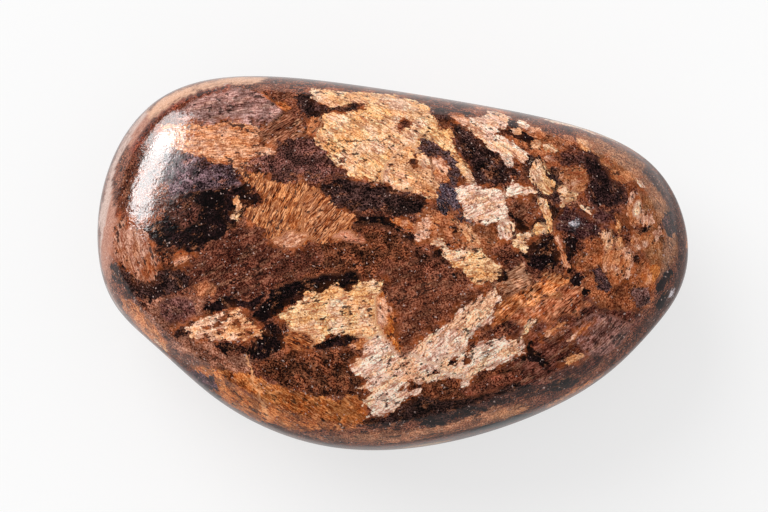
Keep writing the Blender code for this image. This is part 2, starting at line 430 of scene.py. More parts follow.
DARK_PATCHES = {
    # Partly painted light: dark mineral greyed to violet by a painted haze beside the highlight
    "violet field with painted haze beside the highlight": (VIOLET, 10, [
        (-12.3, 5.9), (-11.3, 6.1), (-10.6, 5.9), (-9.9, 5.5), (-9.0, 5.4), (-8.3, 4.9), (-8.1, 4.2),
        (-9.5, 4.0), (-11.0, 3.9), (-12.2, 3.4), (-12.4, 4.5)]),
    "black field below it": (BLACK, 20, [
        (-12.2, 3.4), (-11.0, 3.9), (-9.5, 4.1), (-8.1, 4.3), (-7.4, 3.9), (-7.0, 3.5), (-7.6, 3.15),
        (-8.1, 2.9), (-8.6, 2.1), (-9.1, 1.8), (-9.8, 1.2), (-10.3, 0.8), (-11.0, 0.6), (-11.9, 0.8),
        (-12.6, 0.9), (-13.1, 1.3), (-13.6, 1.9), (-13.0, 2.2), (-12.4, 2.5)]),
    "maroon cloud in the black": (colour(62, 33, 26), 30, [
        (-12.2, 3.5), (-11.2, 3.6), (-10.4, 3.1), (-10.6, 2.3), (-11.3, 1.9), (-12.1, 2.5)]),
    "dark field above the tongue": (colour(82, 48, 42), 15, [
        (-8.0, 5.25), (-7.2, 5.9), (-6.4, 6.2), (-6.2, 6.6), (-5.0, 6.8), (-4.3, 6.7), (-3.6, 6.05),
        (-3.0, 5.45), (-2.4, 5.1), (-2.3, 4.7), (-3.4, 4.8), (-4.0, 4.3), (-4.6, 4.6), (-5.0, 4.75),
        (-5.6, 4.4), (-6.3, 4.5), (-6.8, 4.9), (-7.6, 5.0)]),
    "speckled dark of the upper middle": (INK, 5, [
        (-4.0, 4.2), (-3.3, 4.7), (-2.3, 4.75), (-1.8, 4.55), (-1.0, 4.45), (0.0, 4.1), (1.0, 3.95),
        (1.6, 3.8), (1.7, 3.3), (1.4, 2.7), (0.6, 2.6), (-0.3, 2.8), (-1.2, 2.8), (-1.9, 2.6),
        (-2.1, 2.9), (-3.1, 3.0), (-3.8, 3.8)]),
    "black wedge in the middle": (BLACK, -30, [
        (-2.0, 2.8), (-1.3, 2.5), (-0.5, 2.7), (0.1, 2.2), (0.6, 1.9), (1.2, 1.6), (1.3, 1.2),
        (1.1, 0.9), (0.6, 1.5), (-0.2, 2.0), (-1.0, 2.2), (-1.8, 2.1), (-2.4, 2.2)]),
    "coffee field of the middle": (COFFEE, 10, [
        (-2.2, 2.1), (-1.0, 2.1), (-0.2, 1.9), (0.7, 1.3), (1.1, 0.7), (0.9, 0.1), (-0.4, 0.2),
        (-0.9, -0.4), (-0.6, -0.9), (-1.3, -0.9), (-1.9, -0.8), (-2.4, -1.4), (-3.0, -0.9), (-3.6, -1.2),
        (-4.5, -1.4), (-5.2, -1.9), (-6.0, -1.8), (-6.6, -1.3), (-5.0, -0.7), (-3.8, 0.2), (-3.9, 1.05),
        (-3.3, 1.2), (-2.7, 1.3), (-1.9, 1.1), (-1.4, 1.2)]),
    "black above the swallowtail": (BLACK, 10, [
        (-6.6, -1.4), (-5.6, -1.0), (-4.4, -0.7), (-3.6, -0.6), (-2.8, -0.5), (-2.0, -0.4), (-1.6, -0.7),
        (-2.4, -1.5), (-3.0, -1.1), (-3.7, -1.5), (-4.6, -1.6), (-5.1, -2.0), (-5.8, -2.3), (-6.2, -2.8),
        (-7.0, -3.2), (-7.6, -2.8), (-7.0, -2.0)]),
    "dark streak in the top patch": (INK, -5, [
        (-5.2, 9.3), (-4.4, 9.2), (-4.1, 8.8), (-3.3, 8.45), (-2.6, 8.65), (-2.1, 8.85), (-1.5, 8.5),
        (-2.6, 8.2), (-3.6, 8.25), (-4.5, 7.9), (-5.1, 8.2)]),
    "dark corner under the top edge": (INK, -10, [
        (2.0, 8.55), (3.1, 8.4), (4.2, 8.2), (5.0, 8.05), (4.6, 7.85), (4.2, 8.0), (3.6, 8.25),
        (3.1, 8.2), (3.0, 7.8), (2.5, 7.8), (2.2, 8.1)]),
    "dark diagonal": (INK, -35, [
        (3.0, 8.1), (3.4, 7.5), (4.0, 7.15), (4.6, 6.75), (5.2, 6.2), (5.9, 5.8), (6.4, 5.4), (7.0, 5.1),
        (7.2, 4.6), (7.3, 4.2), (6.9, 4.6), (6.4, 4.7), (5.9, 4.4), (5.2, 4.35), (4.9, 4.25),
        (4.3, 4.45), (4.35, 4.8), (4.1, 5.3), (3.8, 5.8), (3.5, 6.2), (3.3, 6.9), (3.3, 7.3),
        (3.0, 7.5)]),
    "violet patch left of the diagonal": (colour(72, 54, 55), -30, [
        (1.4, 6.8), (1.8, 6.9), (2.2, 6.7), (2.6, 6.4), (2.9, 6.2), (3.2, 6.1), (3.4, 5.6), (3.6, 5.2),
        (3.7, 4.8), (3.6, 4.3), (3.1, 4.2), (3.05, 4.9), (3.2, 5.3), (3.0, 5.6), (2.6, 5.8), (2.1, 5.9),
        (1.8, 6.0), (1.4, 6.0), (1.2, 6.2)]),
    "blue-black net beside the round patch": (colour(58, 48, 54), -50, [
        (2.3, 4.3), (3.0, 4.4), (3.4, 4.1), (3.5, 3.5), (3.9, 2.7), (4.3, 2.3), (4.1, 2.1), (3.6, 2.6),
        (3.1, 3.1), (2.6, 2.7), (2.3, 3.1), (2.6, 3.6)]),
    "black patch below the beads": (BLACK, 20, [
        (6.9, 0.6), (7.5, 1.0), (8.0, 1.5), (8.6, 1.6), (9.0, 1.0), (9.2, 0.5), (9.0, 0.0), (8.4, -0.3),
        (8.0, -0.5), (7.6, -0.2), (7.2, 0.2)]),
    "black strip beside the thin streak": (BLACK, 80, [
        (9.2, 1.5), (9.8, 1.6), (10.0, 1.3), (9.95, 0.6), (9.7, 0.0), (9.5, -0.4), (9.4, 0.3),
        (9.4, 0.9)]),
    "black patch of the upper right": (colour(74, 42, 36), -25, [
        (9.1, 6.1), (9.9, 6.0), (10.6, 6.1), (11.2, 5.9), (11.3, 5.5), (11.7, 5.2), (11.9, 4.7),
        (12.6, 4.2), (12.7, 3.3), (12.2, 3.1), (11.3, 3.0), (10.6, 3.1), (10.5, 3.8), (10.6, 4.4),
        (10.5, 5.0), (10.1, 5.3), (9.2, 5.4)]),
    "black heart of that patch": (colour(38, 23, 22), -70, [
        (10.4, 5.9), (11.1, 5.7), (11.5, 5.2), (11.8, 4.6), (12.5, 4.0), (12.6, 3.5), (12.0, 3.1),
        (11.2, 3.0), (10.7, 3.4), (10.7, 4.2), (10.5, 5.0)]),
    "black above the keyhole blade": (BLACK, -20, [
        (6.2, 7.9), (6.6, 7.8), (7.2, 7.3), (7.6, 6.9), (7.9, 6.3), (7.5, 6.1), (7.2, 6.6), (6.6, 6.9),
        (6.2, 7.2)]),
    "black round the keyhole blade": (INK, -60, [
        (7.4, 5.9), (7.9, 5.8), (8.3, 5.2), (8.9, 5.2), (9.2, 5.0), (9.1, 4.2), (9.0, 3.6), (8.9, 2.6),
        (8.7, 1.9), (8.5, 1.6), (8.0, 1.5), (7.5, 1.6), (7.6, 2.2), (8.0, 2.6), (8.0, 3.4), (7.8, 4.0),
        (7.2, 4.6), (7.1, 5.2)]),
    "black slot left of the beads": (BLACK, -30, [
        (6.3, 2.8), (6.6, 2.8), (6.9, 2.3), (7.4, 2.1), (7.6, 1.8), (7.2, 1.7), (6.8, 1.8), (6.6, 2.2)]),
    "black blob right of the orange streaks": (BLACK, 35, [
        (9.4, -0.9), (9.9, -0.5), (10.3, -0.6), (10.25, -1.1), (9.9, -1.4), (9.6, -1.2)]),
    # Painted highlight: a grey glint of light on the dark mineral
    "painted grey glint right of the upright blade": (colour(128, 122, 126), -40, [
        (9.6, 2.3), (10.0, 2.45), (10.25, 2.1), (9.95, 1.8), (9.6, 1.9)]),
    "violet patch of the narrow end": (colour(72, 47, 46), -40, [
        (10.8, -0.2), (11.3, -0.2), (11.5, -0.7), (12.0, -1.3), (11.7, -1.6), (11.1, -1.3),
        (10.8, -0.8)]),
    "violet patch low in the narrow end": (colour(96, 62, 56), 10, [
        (13.1, -1.3), (13.6, -1.3), (14.0, -1.6), (14.0, -2.2), (13.3, -2.3), (13.0, -1.8)]),
    "black above the violet patch": (BLACK, 20, [
        (10.2, -1.3), (10.5, -1.2), (10.7, -1.7), (10.4, -1.9)]),
    "black rim blade of the narrow end": (BLACK, 45, [
        (14.3, -1.2), (14.6, -0.8), (15.1, -0.3), (15.2, -0.6), (15.0, -0.9), (14.8, -1.2),
        (14.4, -1.4)]),
    "black rim blade below it": (BLACK, 55, [
        (14.2, -2.3), (14.5, -1.9), (14.8, -1.5), (14.9, -1.7), (14.6, -2.3), (14.3, -2.5)]),
    "black rim patch of the narrow end": (colour(66, 42, 40), -70, [
        (14.6, 2.8), (15.1, 2.9), (15.4, 2.2), (15.3, 1.6), (14.9, 1.5), (14.6, 2.0)]),
    # Painted highlight: a white glint of light on the rim
    "painted white glint below the rim blades": (colour(196, 186, 190), 60, [
        (14.95, -1.75), (15.15, -1.3), (15.35, -1.3), (15.2, -1.8)]),
    "dark streak in the swallowtail": (MAROON, 38, [
        (3.9, -4.7), (4.4, -4.2), (4.9, -3.9), (5.6, -3.5), (6.2, -3.1), (6.4, -3.5), (5.8, -4.0),
        (5.3, -4.1), (4.8, -4.2), (4.3, -4.6)]),
    "coffee field below the swallowtail": (COFFEE, 8, [
        (1.6, -6.5), (2.5, -6.3), (3.8, -6.3), (3.6, -6.6), (4.2, -6.6), (4.5, -6.1), (5.0, -5.9),
        (5.7, -5.6), (6.6, -5.6), (6.8, -6.2), (5.6, -6.9), (4.0, -7.4), (2.4, -7.6), (1.4, -7.2)]),
    "red-brown band below the lower arm": (colour(122, 62, 44), 15, [
        (3.6, -6.75), (4.5, -6.5), (5.2, -6.1), (6.2, -5.9), (7.0, -5.6), (7.0, -6.1), (6.0, -6.6),
        (4.8, -7.1), (3.8, -7.1)]),
    "black field of the belly": (colour(40, 25, 22), 12, [
        (0.1, -8.0), (0.5, -7.6), (1.0, -7.2), (1.6, -7.1), (2.6, -7.4), (4.0, -7.3), (5.6, -6.9),
        (6.6, -6.4), (7.2, -6.7), (8.2, -6.4), (9.0, -6.2), (10.0, -6.1), (10.3, -6.0), (9.9, -6.5),
        (9.2, -6.8), (8.0, -7.1), (7.0, -7.3), (6.0, -7.5), (5.2, -7.8), (4.3, -8.2), (3.4, -8.3),
        (2.6, -8.7), (2.0, -8.8), (1.5, -8.6), (0.8, -8.5), (0.5, -8.9), (-0.5, -8.9), (-1.3, -8.8),
        (-1.6, -8.5), (-1.1, -8.35), (-0.5, -8.3)]),
    "brown cloud in the belly's black": (colour(64, 36, 30), 10, [
        (4.2, -7.6), (5.4, -7.1), (6.8, -6.9), (7.8, -6.6), (8.8, -6.6), (8.0, -7.0), (6.6, -7.4),
        (5.2, -7.8)]),
    "black at the end of the lower arm": (BLACK, -20, [
        (7.1, -4.1), (7.5, -4.2), (7.6, -4.6), (8.0, -4.9), (8.6, -5.3), (8.2, -5.6), (7.6, -5.3),
        (7.0, -5.3), (6.4, -5.2), (6.7, -4.9), (7.2, -4.9)]),
    "black under the small blade": (BLACK, -15, [
        (-9.7, -4.3), (-9.0, -4.15), (-8.2, -4.3), (-7.8, -4.6), (-8.6, -4.8), (-9.1, -4.9),
        (-9.5, -4.6)]),
    "black left of the swallowtail": (BLACK, 70, [
        (-7.2, -3.7), (-6.7, -3.2), (-6.2, -3.2), (-5.8, -3.6), (-5.9, -4.5), (-6.6, -5.0), (-7.2, -5.4),
        (-7.5, -5.2), (-7.9, -4.8), (-7.7, -4.3)]),
    "black strip left of the small blade": (INK, -5, [
        (-11.8, -3.5), (-11.1, -3.6), (-10.9, -3.8), (-11.7, -3.85)]),
    "band above the small blade": (BLACK, 0, [
        (-10.1, -2.0), (-9.0, -1.9), (-8.0, -1.95), (-7.0, -1.6), (-7.2, -2.4), (-7.8, -2.6),
        (-8.3, -2.4), (-8.8, -2.3), (-9.4, -2.6), (-10.0, -2.8)]),
    "dark band of the left edge": (INK, -40, [
        (-15.2, -0.1), (-14.6, -0.2), (-14.1, -0.6), (-13.5, -1.1), (-13.0, -0.9), (-12.9, -0.5),
        (-12.2, -0.3), (-11.5, -0.3), (-11.0, -0.8), (-11.3, -1.4), (-12.3, -1.7), (-12.8, -2.0),
        (-13.5, -2.0), (-14.2, -1.6), (-14.6, -1.1), (-15.0, -1.0)]),
    "upright dark strip of the left": (COFFEE, 80, [
        (-12.6, 0.9), (-12.0, 0.7), (-11.9, 0.1), (-11.7, -0.2), (-12.4, -0.3), (-12.6, 0.2)]),
    "dark strip of the lower left rim": (colour(74, 50, 54), -38, [
        (-11.8, -5.2), (-11.2, -5.7), (-10.4, -5.9), (-9.7, -6.1), (-9.4, -6.9), (-10.2, -6.7),
        (-11.0, -6.2), (-11.6, -5.6)]),
    "coffee band below the small blade": (COFFEE, -22, [
        (-7.6, -5.4), (-6.8, -5.1), (-6.0, -4.9), (-5.0, -4.8), (-4.4, -4.8), (-3.7, -4.7), (-3.0, -4.5),
        (-2.5, -4.6), (-1.9, -4.9), (-2.4, -5.4), (-2.2, -5.9), (-1.6, -6.3), (-1.8, -6.8), (-1.2, -7.0),
        (-1.8, -7.2), (-2.6, -7.1), (-3.2, -7.3), (-4.2, -7.1), (-5.4, -6.8), (-6.3, -6.4),
        (-7.2, -6.0)]),
    "black spot beside the swallowtail": (BLACK, 30, [
        (-2.3, -6.1), (-1.7, -6.2), (-1.6, -6.5), (-1.9, -6.7), (-2.3, -6.5)]),
    "chocolate violet of the middle right": (MAROON, 10, [
        (1.2, 0.9), (1.9, 0.9), (2.2, 0.5), (2.9, 0.3), (3.1, -0.1), (2.6, -0.9), (1.9, -0.7),
        (1.4, -0.1), (1.1, 0.2)]),
}
darks = Layer("dark")
darks.draw(DARK_PATCHES)

# The bronze blades: the bright cleavage faces that the stone is named for, orange bronze to pale pink.
BRONZE = colour(222, 160, 116)
DEEP_BRONZE = colour(194, 122, 80)
PALE_BRONZE = colour(242, 184, 134)
PINK = colour(255, 206, 182)
STRAW = colour(240, 186, 136)

BLADES = {
    "top patch": (PALE_BRONZE, -38, [
        (-4.3, 9.45), (-3.5, 9.5), (-2.9, 9.4), (-1.9, 9.35), (-0.9, 9.25), (0.1, 9.15), (0.8, 8.95),
        (1.4, 8.75), (2.0, 8.45), (2.1, 8.1), (2.5, 7.75), (2.9, 7.4), (3.2, 7.3), (3.3, 6.6),
        (3.5, 6.1), (3.8, 5.6), (4.1, 5.1), (4.4, 4.7), (4.2, 4.35), (3.8, 4.9), (3.4, 5.6), (3.1, 6.15),
        (2.8, 6.1), (2.5, 6.5), (2.1, 6.8), (1.7, 6.95), (1.35, 6.8), (1.4, 6.3), (1.5, 6.05),
        (0.9, 5.9), (0.3, 5.3), (-0.3, 4.5), (-0.9, 4.45), (-1.4, 4.7), (-1.9, 4.6), (-2.35, 4.8),
        (-2.5, 5.1), (-3.0, 5.4), (-3.6, 6.0), (-4.2, 6.6), (-4.1, 7.2), (-3.7, 7.6), (-3.9, 7.9),
        (-3.5, 8.2), (-2.6, 8.2), (-1.9, 8.3), (-1.4, 8.4), (-1.6, 8.65), (-2.1, 8.85), (-2.7, 8.65),
        (-3.4, 8.5), (-3.9, 8.7), (-4.3, 9.0)]),
    "round foot of the top patch": (colour(232, 172, 128), -25, [
        (0.4, 6.2), (1.0, 6.5), (1.4, 6.05), (1.9, 5.8), (2.2, 5.2), (2.1, 4.8), (2.5, 4.4), (2.3, 3.7),
        (2.0, 3.5), (1.6, 3.9), (1.0, 3.95), (0.5, 3.9), (0.0, 4.1), (-0.6, 4.5), (-0.4, 5.4)]),
    "brown chips right of the foot": (DEEP_BRONZE, -45, [
        (2.2, 5.8), (2.7, 5.7), (3.1, 5.2), (2.9, 4.5), (2.5, 4.5), (2.2, 5.0)]),
    "left lobe of the top patch": (DEEP_BRONZE, 50, [
        (-4.4, 7.9), (-4.0, 7.9), (-3.9, 7.5), (-4.3, 7.1), (-4.8, 7.0), (-4.6, 7.4)]),
    "mid-left blade": (fibrous(colour(196, 122, 76)), 66, [
        (-8.6, 5.4), (-8.2, 4.95), (-7.6, 4.85), (-7.1, 4.95), (-6.7, 4.7), (-6.3, 4.3), (-5.6, 4.35),
        (-5.0, 4.6), (-4.7, 4.2), (-4.0, 4.1), (-3.8, 3.4), (-3.9, 2.6), (-4.0, 1.8), (-4.0, 1.2),
        (-4.5, 1.25), (-5.0, 0.95), (-5.6, 0.85), (-6.1, 0.95), (-6.5, 1.25), (-6.8, 1.5), (-6.9, 1.9),
        (-7.3, 2.1), (-8.0, 2.4), (-8.0, 3.05), (-7.2, 3.25), (-6.9, 3.5), (-7.0, 3.9), (-7.5, 4.1),
        (-7.9, 4.5)]),
    "tail of the mid-left blade": (fibrous(DEEP_BRONZE), 50, [
        (-4.9, 3.7), (-4.1, 4.0), (-3.5, 3.5), (-3.0, 2.95), (-2.2, 2.75), (-2.1, 2.4), (-2.4, 2.1),
        (-2.0, 1.7), (-1.9, 1.4), (-1.4, 1.15), (-2.1, 1.2), (-2.8, 1.35), (-3.4, 1.2), (-4.1, 1.2),
        (-4.8, 1.5)]),
    "pink corner of the mid-left blade": (half_fibrous(colour(206, 136, 98)), 30, [
        (-6.6, 1.3), (-6.1, 1.45), (-5.7, 1.9), (-5.2, 1.65), (-4.6, 1.75), (-4.7, 1.3), (-5.0, 0.95),
        (-5.6, 0.85), (-6.1, 0.95)]),
    "pink tip of the tail": (colour(206, 134, 104), -25, [
        (-3.2, 1.5), (-2.6, 1.9), (-2.1, 1.6), (-1.5, 1.2), (-2.1, 1.2), (-2.8, 1.35)]),
    "fibrous blade beside the highlight": (half_fibrous(colour(222, 154, 114)), -4, [
        (-12.6, 7.6), (-11.2, 7.6), (-10.0, 7.4), (-9.0, 7.8), (-8.0, 7.6), (-7.2, 7.3), (-7.2, 6.4),
        (-6.6, 6.3), (-6.4, 6.0), (-7.2, 5.9), (-7.9, 5.6), (-7.7, 5.3), (-8.3, 5.1), (-8.7, 5.4),
        (-9.3, 5.4), (-10.0, 5.6), (-10.6, 5.9), (-11.2, 6.1), (-12.3, 6.5)]),
    "left end blade": (half_fibrous(colour(146, 80, 50)), -62, [
        (-14.6, 2.6), (-13.9, 2.7), (-13.8, 2.0), (-13.3, 1.6), (-13.1, 1.0), (-12.7, 0.4), (-12.5, 0.1),
        (-12.7, -0.3), (-13.0, -1.0), (-13.4, -1.0), (-13.9, -0.8), (-14.2, -0.4), (-14.8, 0.0),
        (-15.1, 0.4), (-15.2, 0.9), (-15.1, 1.6), (-15.1, 2.1), (-14.9, 2.1)]),
    "orange spot": (colour(160, 88, 46), 20, [
        (-11.8, 0.5), (-11.4, 0.65), (-11.1, 0.45), (-10.8, 0.5), (-11.1, 0.15), (-11.4, -0.15),
        (-11.8, -0.1)]),
    "shard in the black field": (BRONZE, 80, [
        (-8.7, 3.55), (-8.3, 3.55), (-8.2, 3.0), (-8.4, 2.9), (-8.55, 3.2)]),
    "shard below it": (PALE_BRONZE, 0, [
        (-8.75, 2.55), (-8.6, 2.75), (-8.25, 2.65), (-8.3, 2.4), (-8.65, 2.35)]),
    "small blade": (BRONZE, 10, [
        (-11.8, -3.5), (-11.0, -3.3), (-10.5, -3.0), (-10.0, -2.9), (-9.4, -2.7), (-8.9, -2.4),
        (-8.3, -2.5), (-7.9, -2.6), (-8.0, -3.0), (-7.6, -3.1), (-7.4, -3.5), (-7.0, -3.7), (-7.1, -4.0),
        (-7.8, -4.05), (-8.2, -4.15), (-8.7, -4.1), (-9.1, -4.05), (-9.6, -4.15), (-10.2, -4.05),
        (-10.8, -3.95), (-11.0, -3.7), (-11.4, -3.5)]),
    "left wing of the swallowtail": (STRAW, 8, [
        (-6.2, -2.75), (-5.6, -2.35), (-5.0, -2.0), (-4.6, -1.6), (-3.8, -1.6), (-3.5, -1.2),
        (-3.0, -1.0), (-2.7, -1.35), (-2.4, -1.6), (-2.2, -1.3), (-1.9, -0.85), (-1.5, -1.1),
        (-1.2, -0.95), (-0.5, -1.0), (-0.8, -1.4), (-0.4, -1.7), (-0.5, -2.0), (-0.9, -2.4),
        (-0.8, -2.9), (-0.5, -3.5), (-0.1, -4.4), (0.3, -5.0), (-0.4, -5.2), (-1.1, -4.8), (-1.6, -4.4),
        (-1.9, -4.0), (-2.4, -3.8), (-3.2, -3.8), (-3.8, -4.0), (-4.4, -4.5), (-4.9, -4.65),
        (-5.5, -4.5), (-5.8, -4.2), (-5.5, -3.6), (-5.7, -3.2)]),
    "orange fringe of the left wing": (half_smooth(colour(192, 112, 54)), -70, [
        (-1.0, -1.8), (-0.4, -1.4), (-0.3, -2.1), (0.0, -2.7), (0.0, -3.4), (0.2, -4.2), (0.5, -5.0),
        (0.1, -4.7), (-0.4, -4.0), (-0.8, -3.3), (-0.9, -2.4)]),
    "orange foot of the left wing": (fibrous(ORANGE), -20, [
        (-5.8, -3.5), (-5.3, -3.6), (-4.6, -3.7), (-4.2, -4.2), (-4.6, -4.7), (-5.2, -4.7), (-5.7, -4.5),
        (-5.9, -4.1)]),
    "orange spot beside the lens": (ORANGE, 20, [
        (-2.2, -4.0), (-1.6, -3.9), (-1.2, -4.2), (-1.5, -4.6), (-2.0, -4.55), (-2.5, -4.4)]),
    "stem of the swallowtail": (PINK, 32, [
        (-0.8, -3.7), (-0.35, -4.0), (0.0, -4.5), (0.4, -5.0), (0.9, -4.85), (1.6, -4.2), (2.6, -4.0),
        (3.3, -4.6), (3.8, -5.2), (4.2, -5.6),
        (4.3, -6.0), (3.9, -6.3), (3.1, -6.2), (2.4, -6.3), (1.7, -6.4), (1.3, -6.6), (1.5, -6.75),
        (1.5, -7.0), (1.0, -7.2), (0.5, -7.5), (0.1, -7.9), (-0.5, -8.1), (-1.1, -8.3), (-1.55, -8.35),
        (-1.3, -8.1), (-1.25, -7.8), (-1.7, -7.65), (-1.6, -7.4), (-1.1, -7.1), (-1.3, -6.8),
        (-1.8, -6.7), (-1.35, -6.5), (-1.5, -6.2), (-1.9, -6.0), (-2.2, -5.8), (-2.4, -5.5),
        (-2.0, -5.3), (-1.6, -4.9), (-1.5, -4.3)]),
    "right wing of the swallowtail": (PINK, 42, [
        (0.9, -4.85), (1.2, -4.5), (1.6, -4.1), (2.2, -3.7), (2.7, -3.4), (3.3, -3.1), (3.6, -2.8),
        (3.6, -2.5), (4.1, -2.35), (4.6, -1.9), (5.0, -1.7), (5.4, -1.3), (5.65, -1.1), (5.8, -1.7),
        (6.0, -2.0), (5.6, -2.4), (5.6, -2.8), (5.2, -3.2), (4.7, -3.5), (4.3, -4.0), (3.9, -4.6),
        (3.5, -5.2), (2.8, -5.5), (1.8, -5.3)]),
    "lower arm of the swallowtail": (PINK, 28, [
        (2.4, -5.7), (2.7, -5.0), (3.6, -4.8), (4.3, -4.6), (4.8, -4.25), (5.3, -4.15), (6.0, -4.0),
        (6.5, -4.25), (7.0, -4.1), (7.2, -4.4), (7.1, -4.8), (6.6, -4.9), (6.3, -5.2), (5.6, -5.4),
        (5.2, -5.7), (4.7, -5.8), (4.4, -6.1), (4.1, -6.5), (3.7, -6.6), (3.9, -6.2), (3.4, -6.1)]),
    "pale patch right of the diagonal": (PINK, -40, [
        (4.0, 7.9), (4.6, 7.9), (5.0, 8.0), (5.2, 8.3), (6.0, 8.15), (6.4, 7.95), (6.2, 7.7), (5.9, 7.3),
        (5.6, 7.0), (6.0, 6.9), (6.4, 6.7), (7.0, 6.3), (7.4, 6.0), (7.45, 5.65), (7.0, 5.6),
        (6.6, 5.8), (6.7, 5.35), (6.3, 5.25), (6.0, 5.6), (5.5, 6.1), (5.0, 6.5), (4.5, 7.0),
        (4.1, 7.4)]),
    "orange corner of the pale patch": (DEEP_BRONZE, -30, [
        (3.1, 8.1), (3.6, 8.1), (4.1, 7.9), (4.3, 7.4), (3.9, 7.5), (3.5, 7.7), (3.2, 7.9)]),
    "pink chip under the top edge": (PINK, -40, [
        (6.7, 7.75), (7.1, 7.75), (7.4, 7.5), (7.2, 7.35), (6.8, 7.45)]),
    "tan chip right of it": (DEEP_BRONZE, -30, [
        (7.5, 7.4), (8.0, 7.4), (8.2, 7.2), (7.8, 6.95), (7.4, 7.1)]),
    "bead": (BRONZE, 0, [(6.4, 7.3), (6.8, 7.4), (6.95, 7.1), (6.6, 6.95)]),
    "gold spot": (BRONZE, 0, [(7.5, 6.5), (7.8, 6.7), (8.0, 6.6), (7.95, 6.35), (7.6, 6.3)]),
    "straw spike": (STRAW, -35, [(8.05, 6.6), (8.6, 6.5), (9.0, 6.1), (8.7, 6.0), (8.3, 6.2)]),
    "tan lump above the keyhole": (RUST, 0, [
        (8.2, 5.8), (8.6, 5.9), (8.9, 5.6), (8.8, 5.2), (8.4, 5.2)]),
    "keyhole blade": (STRAW, -60, [
        (7.45, 5.3), (7.75, 5.7), (8.2, 5.55), (8.3, 5.1), (8.4, 4.8), (8.7, 4.6), (8.85, 4.25),
        (8.6, 3.9), (8.2, 3.9), (7.9, 4.2), (7.65, 4.6), (7.45, 4.9)]),
    "rim lump of the upper right": (BRONZE, -40, [
        (10.0, 6.85), (10.7, 6.6), (10.9, 6.4), (10.6, 6.15), (10.2, 6.2), (10.0, 6.6)]),
    "mottled square patch": (colour(164, 106, 74), 20, [
        (9.1, 5.3), (10.0, 5.3), (10.5, 5.0), (10.6, 4.5), (10.4, 4.0), (9.9, 3.9), (9.3, 4.3),
        (9.1, 4.7)]),
    "small patch under the square one": (PALE_BRONZE, 10, [
        (9.0, 4.2), (9.4, 4.3), (9.6, 3.9), (10.0, 3.9), (9.9, 3.5), (9.6, 3.3), (9.2, 3.1),
        (9.0, 3.4)]),
    "thin pale streak": (PINK, -30, [
        (10.0, 3.35), (10.3, 3.2), (10.6, 3.0), (10.75, 2.7), (10.6, 2.75), (10.4, 2.95), (10.1, 3.1)]),
    "pink round patch": (PINK, 20, [
        (6.1, 4.2), (6.5, 4.5), (6.9, 4.3), (7.0, 4.05), (7.6, 4.1), (7.9, 3.8), (7.1, 3.7), (6.6, 3.6),
        (6.2, 3.6)]),
    "big round patch": (PINK, 25, [
        (3.3, 4.1), (3.9, 4.3), (4.3, 4.4), (4.9, 4.15), (5.5, 4.2), (6.0, 3.9), (6.1, 3.4), (6.0, 3.0),
        (6.25, 2.8), (6.3, 2.4), (5.9, 2.3), (5.3, 2.2), (4.7, 2.15), (4.3, 2.3), (3.95, 2.6),
        (3.8, 3.0), (3.5, 3.5)]),
    "pale wedge below the round patch": (PINK, -70, [
        (5.8, 2.4), (6.3, 2.4), (6.65, 2.1), (6.6, 1.7), (6.2, 1.4), (5.8, 1.3), (5.7, 1.8)]),
    "slit patch": (STRAW, -15, [
        (6.5, 1.3), (6.8, 1.6), (7.4, 1.7), (7.6, 1.5), (7.1, 1.3), (7.2, 1.1), (7.4, 0.95), (7.2, 0.7),
        (6.9, 0.75), (6.6, 1.0)]),
    "upright blade": (PALE_BRONZE, -72, [
        (7.9, 3.6), (8.2, 3.5), (8.4, 3.1), (8.6, 2.5), (8.65, 2.2), (8.75, 1.7), (8.3, 1.7),
        (8.25, 2.2), (8.1, 2.8), (7.9, 3.2)]),
    "bead under the upright blade": (STRAW, 0, [
        (7.6, 2.0), (7.95, 2.2), (8.3, 2.0), (8.3, 1.7), (8.0, 1.55), (7.6, 1.75)]),
    "thin streak down the right": (DEEP_BRONZE, -70, [
        (8.75, 1.6), (8.95, 1.55), (9.15, 1.2), (9.3, 0.7), (9.4, 0.2), (9.65, -0.15), (9.4, -0.3),
        (9.15, 0.3), (9.05, 0.8), (8.9, 1.2)]),
    "mottled blade of the middle right": (PALE_BRONZE, 12, [
        (2.1, 1.2), (2.4, 1.5), (2.7, 1.5), (2.9, 1.0), (3.3, 0.9), (3.9, 0.8), (4.3, 0.9), (4.8, 0.8),
        (5.0, 0.5), (5.2, 0.4), (5.6, 0.1), (5.8, -0.3), (5.7, -0.7), (5.4, -0.9), (5.0, -1.0),
        (4.6, -1.1), (4.1, -0.7), (3.8, -0.4), (3.3, -0.1), (3.1, 0.1), (2.9, 0.4), (2.7, 0.8),
        (2.4, 0.9)]),
    "tan wedge above it": (BRONZE, -50, [
        (3.0, 2.4), (3.4, 2.5), (3.7, 2.2), (4.1, 2.1), (4.4, 1.7), (4.6, 1.1), (4.4, 1.0), (4.0, 1.3),
        (3.7, 1.7), (3.3, 2.2)]),
    "tan chips of the middle": (DEEP_BRONZE, -10, [
        (1.3, 1.3), (2.0, 1.5), (2.5, 1.9), (2.6, 2.3), (1.9, 2.6), (1.4, 2.2), (1.2, 1.8)]),
    "thin orange streak of the middle": (ORANGE, -25, [
        (0.0, 2.4), (0.8, 2.35), (1.2, 2.1), (1.35, 1.7), (1.0, 1.8), (0.5, 2.1)]),
    "first blade of the narrow end": (BRONZE, 75, [
        (11.2, 1.7), (11.8, 1.9), (11.9, 1.3), (11.9, 0.9), (11.7, 0.5), (11.5, 0.8), (11.4, 1.3)]),
    "second blade of the narrow end": (BRONZE, 80, [
        (12.0, 2.1), (12.2, 2.5), (12.4, 2.2), (12.4, 1.5), (12.5, 1.0), (12.3, 0.7), (12.1, 1.1)]),
    "mottled foot of the second blade": (DEEP_BRONZE, 60, [
        (11.3, 0.2), (11.7, 0.8), (12.3, 0.8), (12.8, 1.0), (13.1, 0.4), (12.9, -0.4), (12.7, -0.8),
        (12.4, -0.8), (11.9, -0.5), (11.4, -0.4)]),
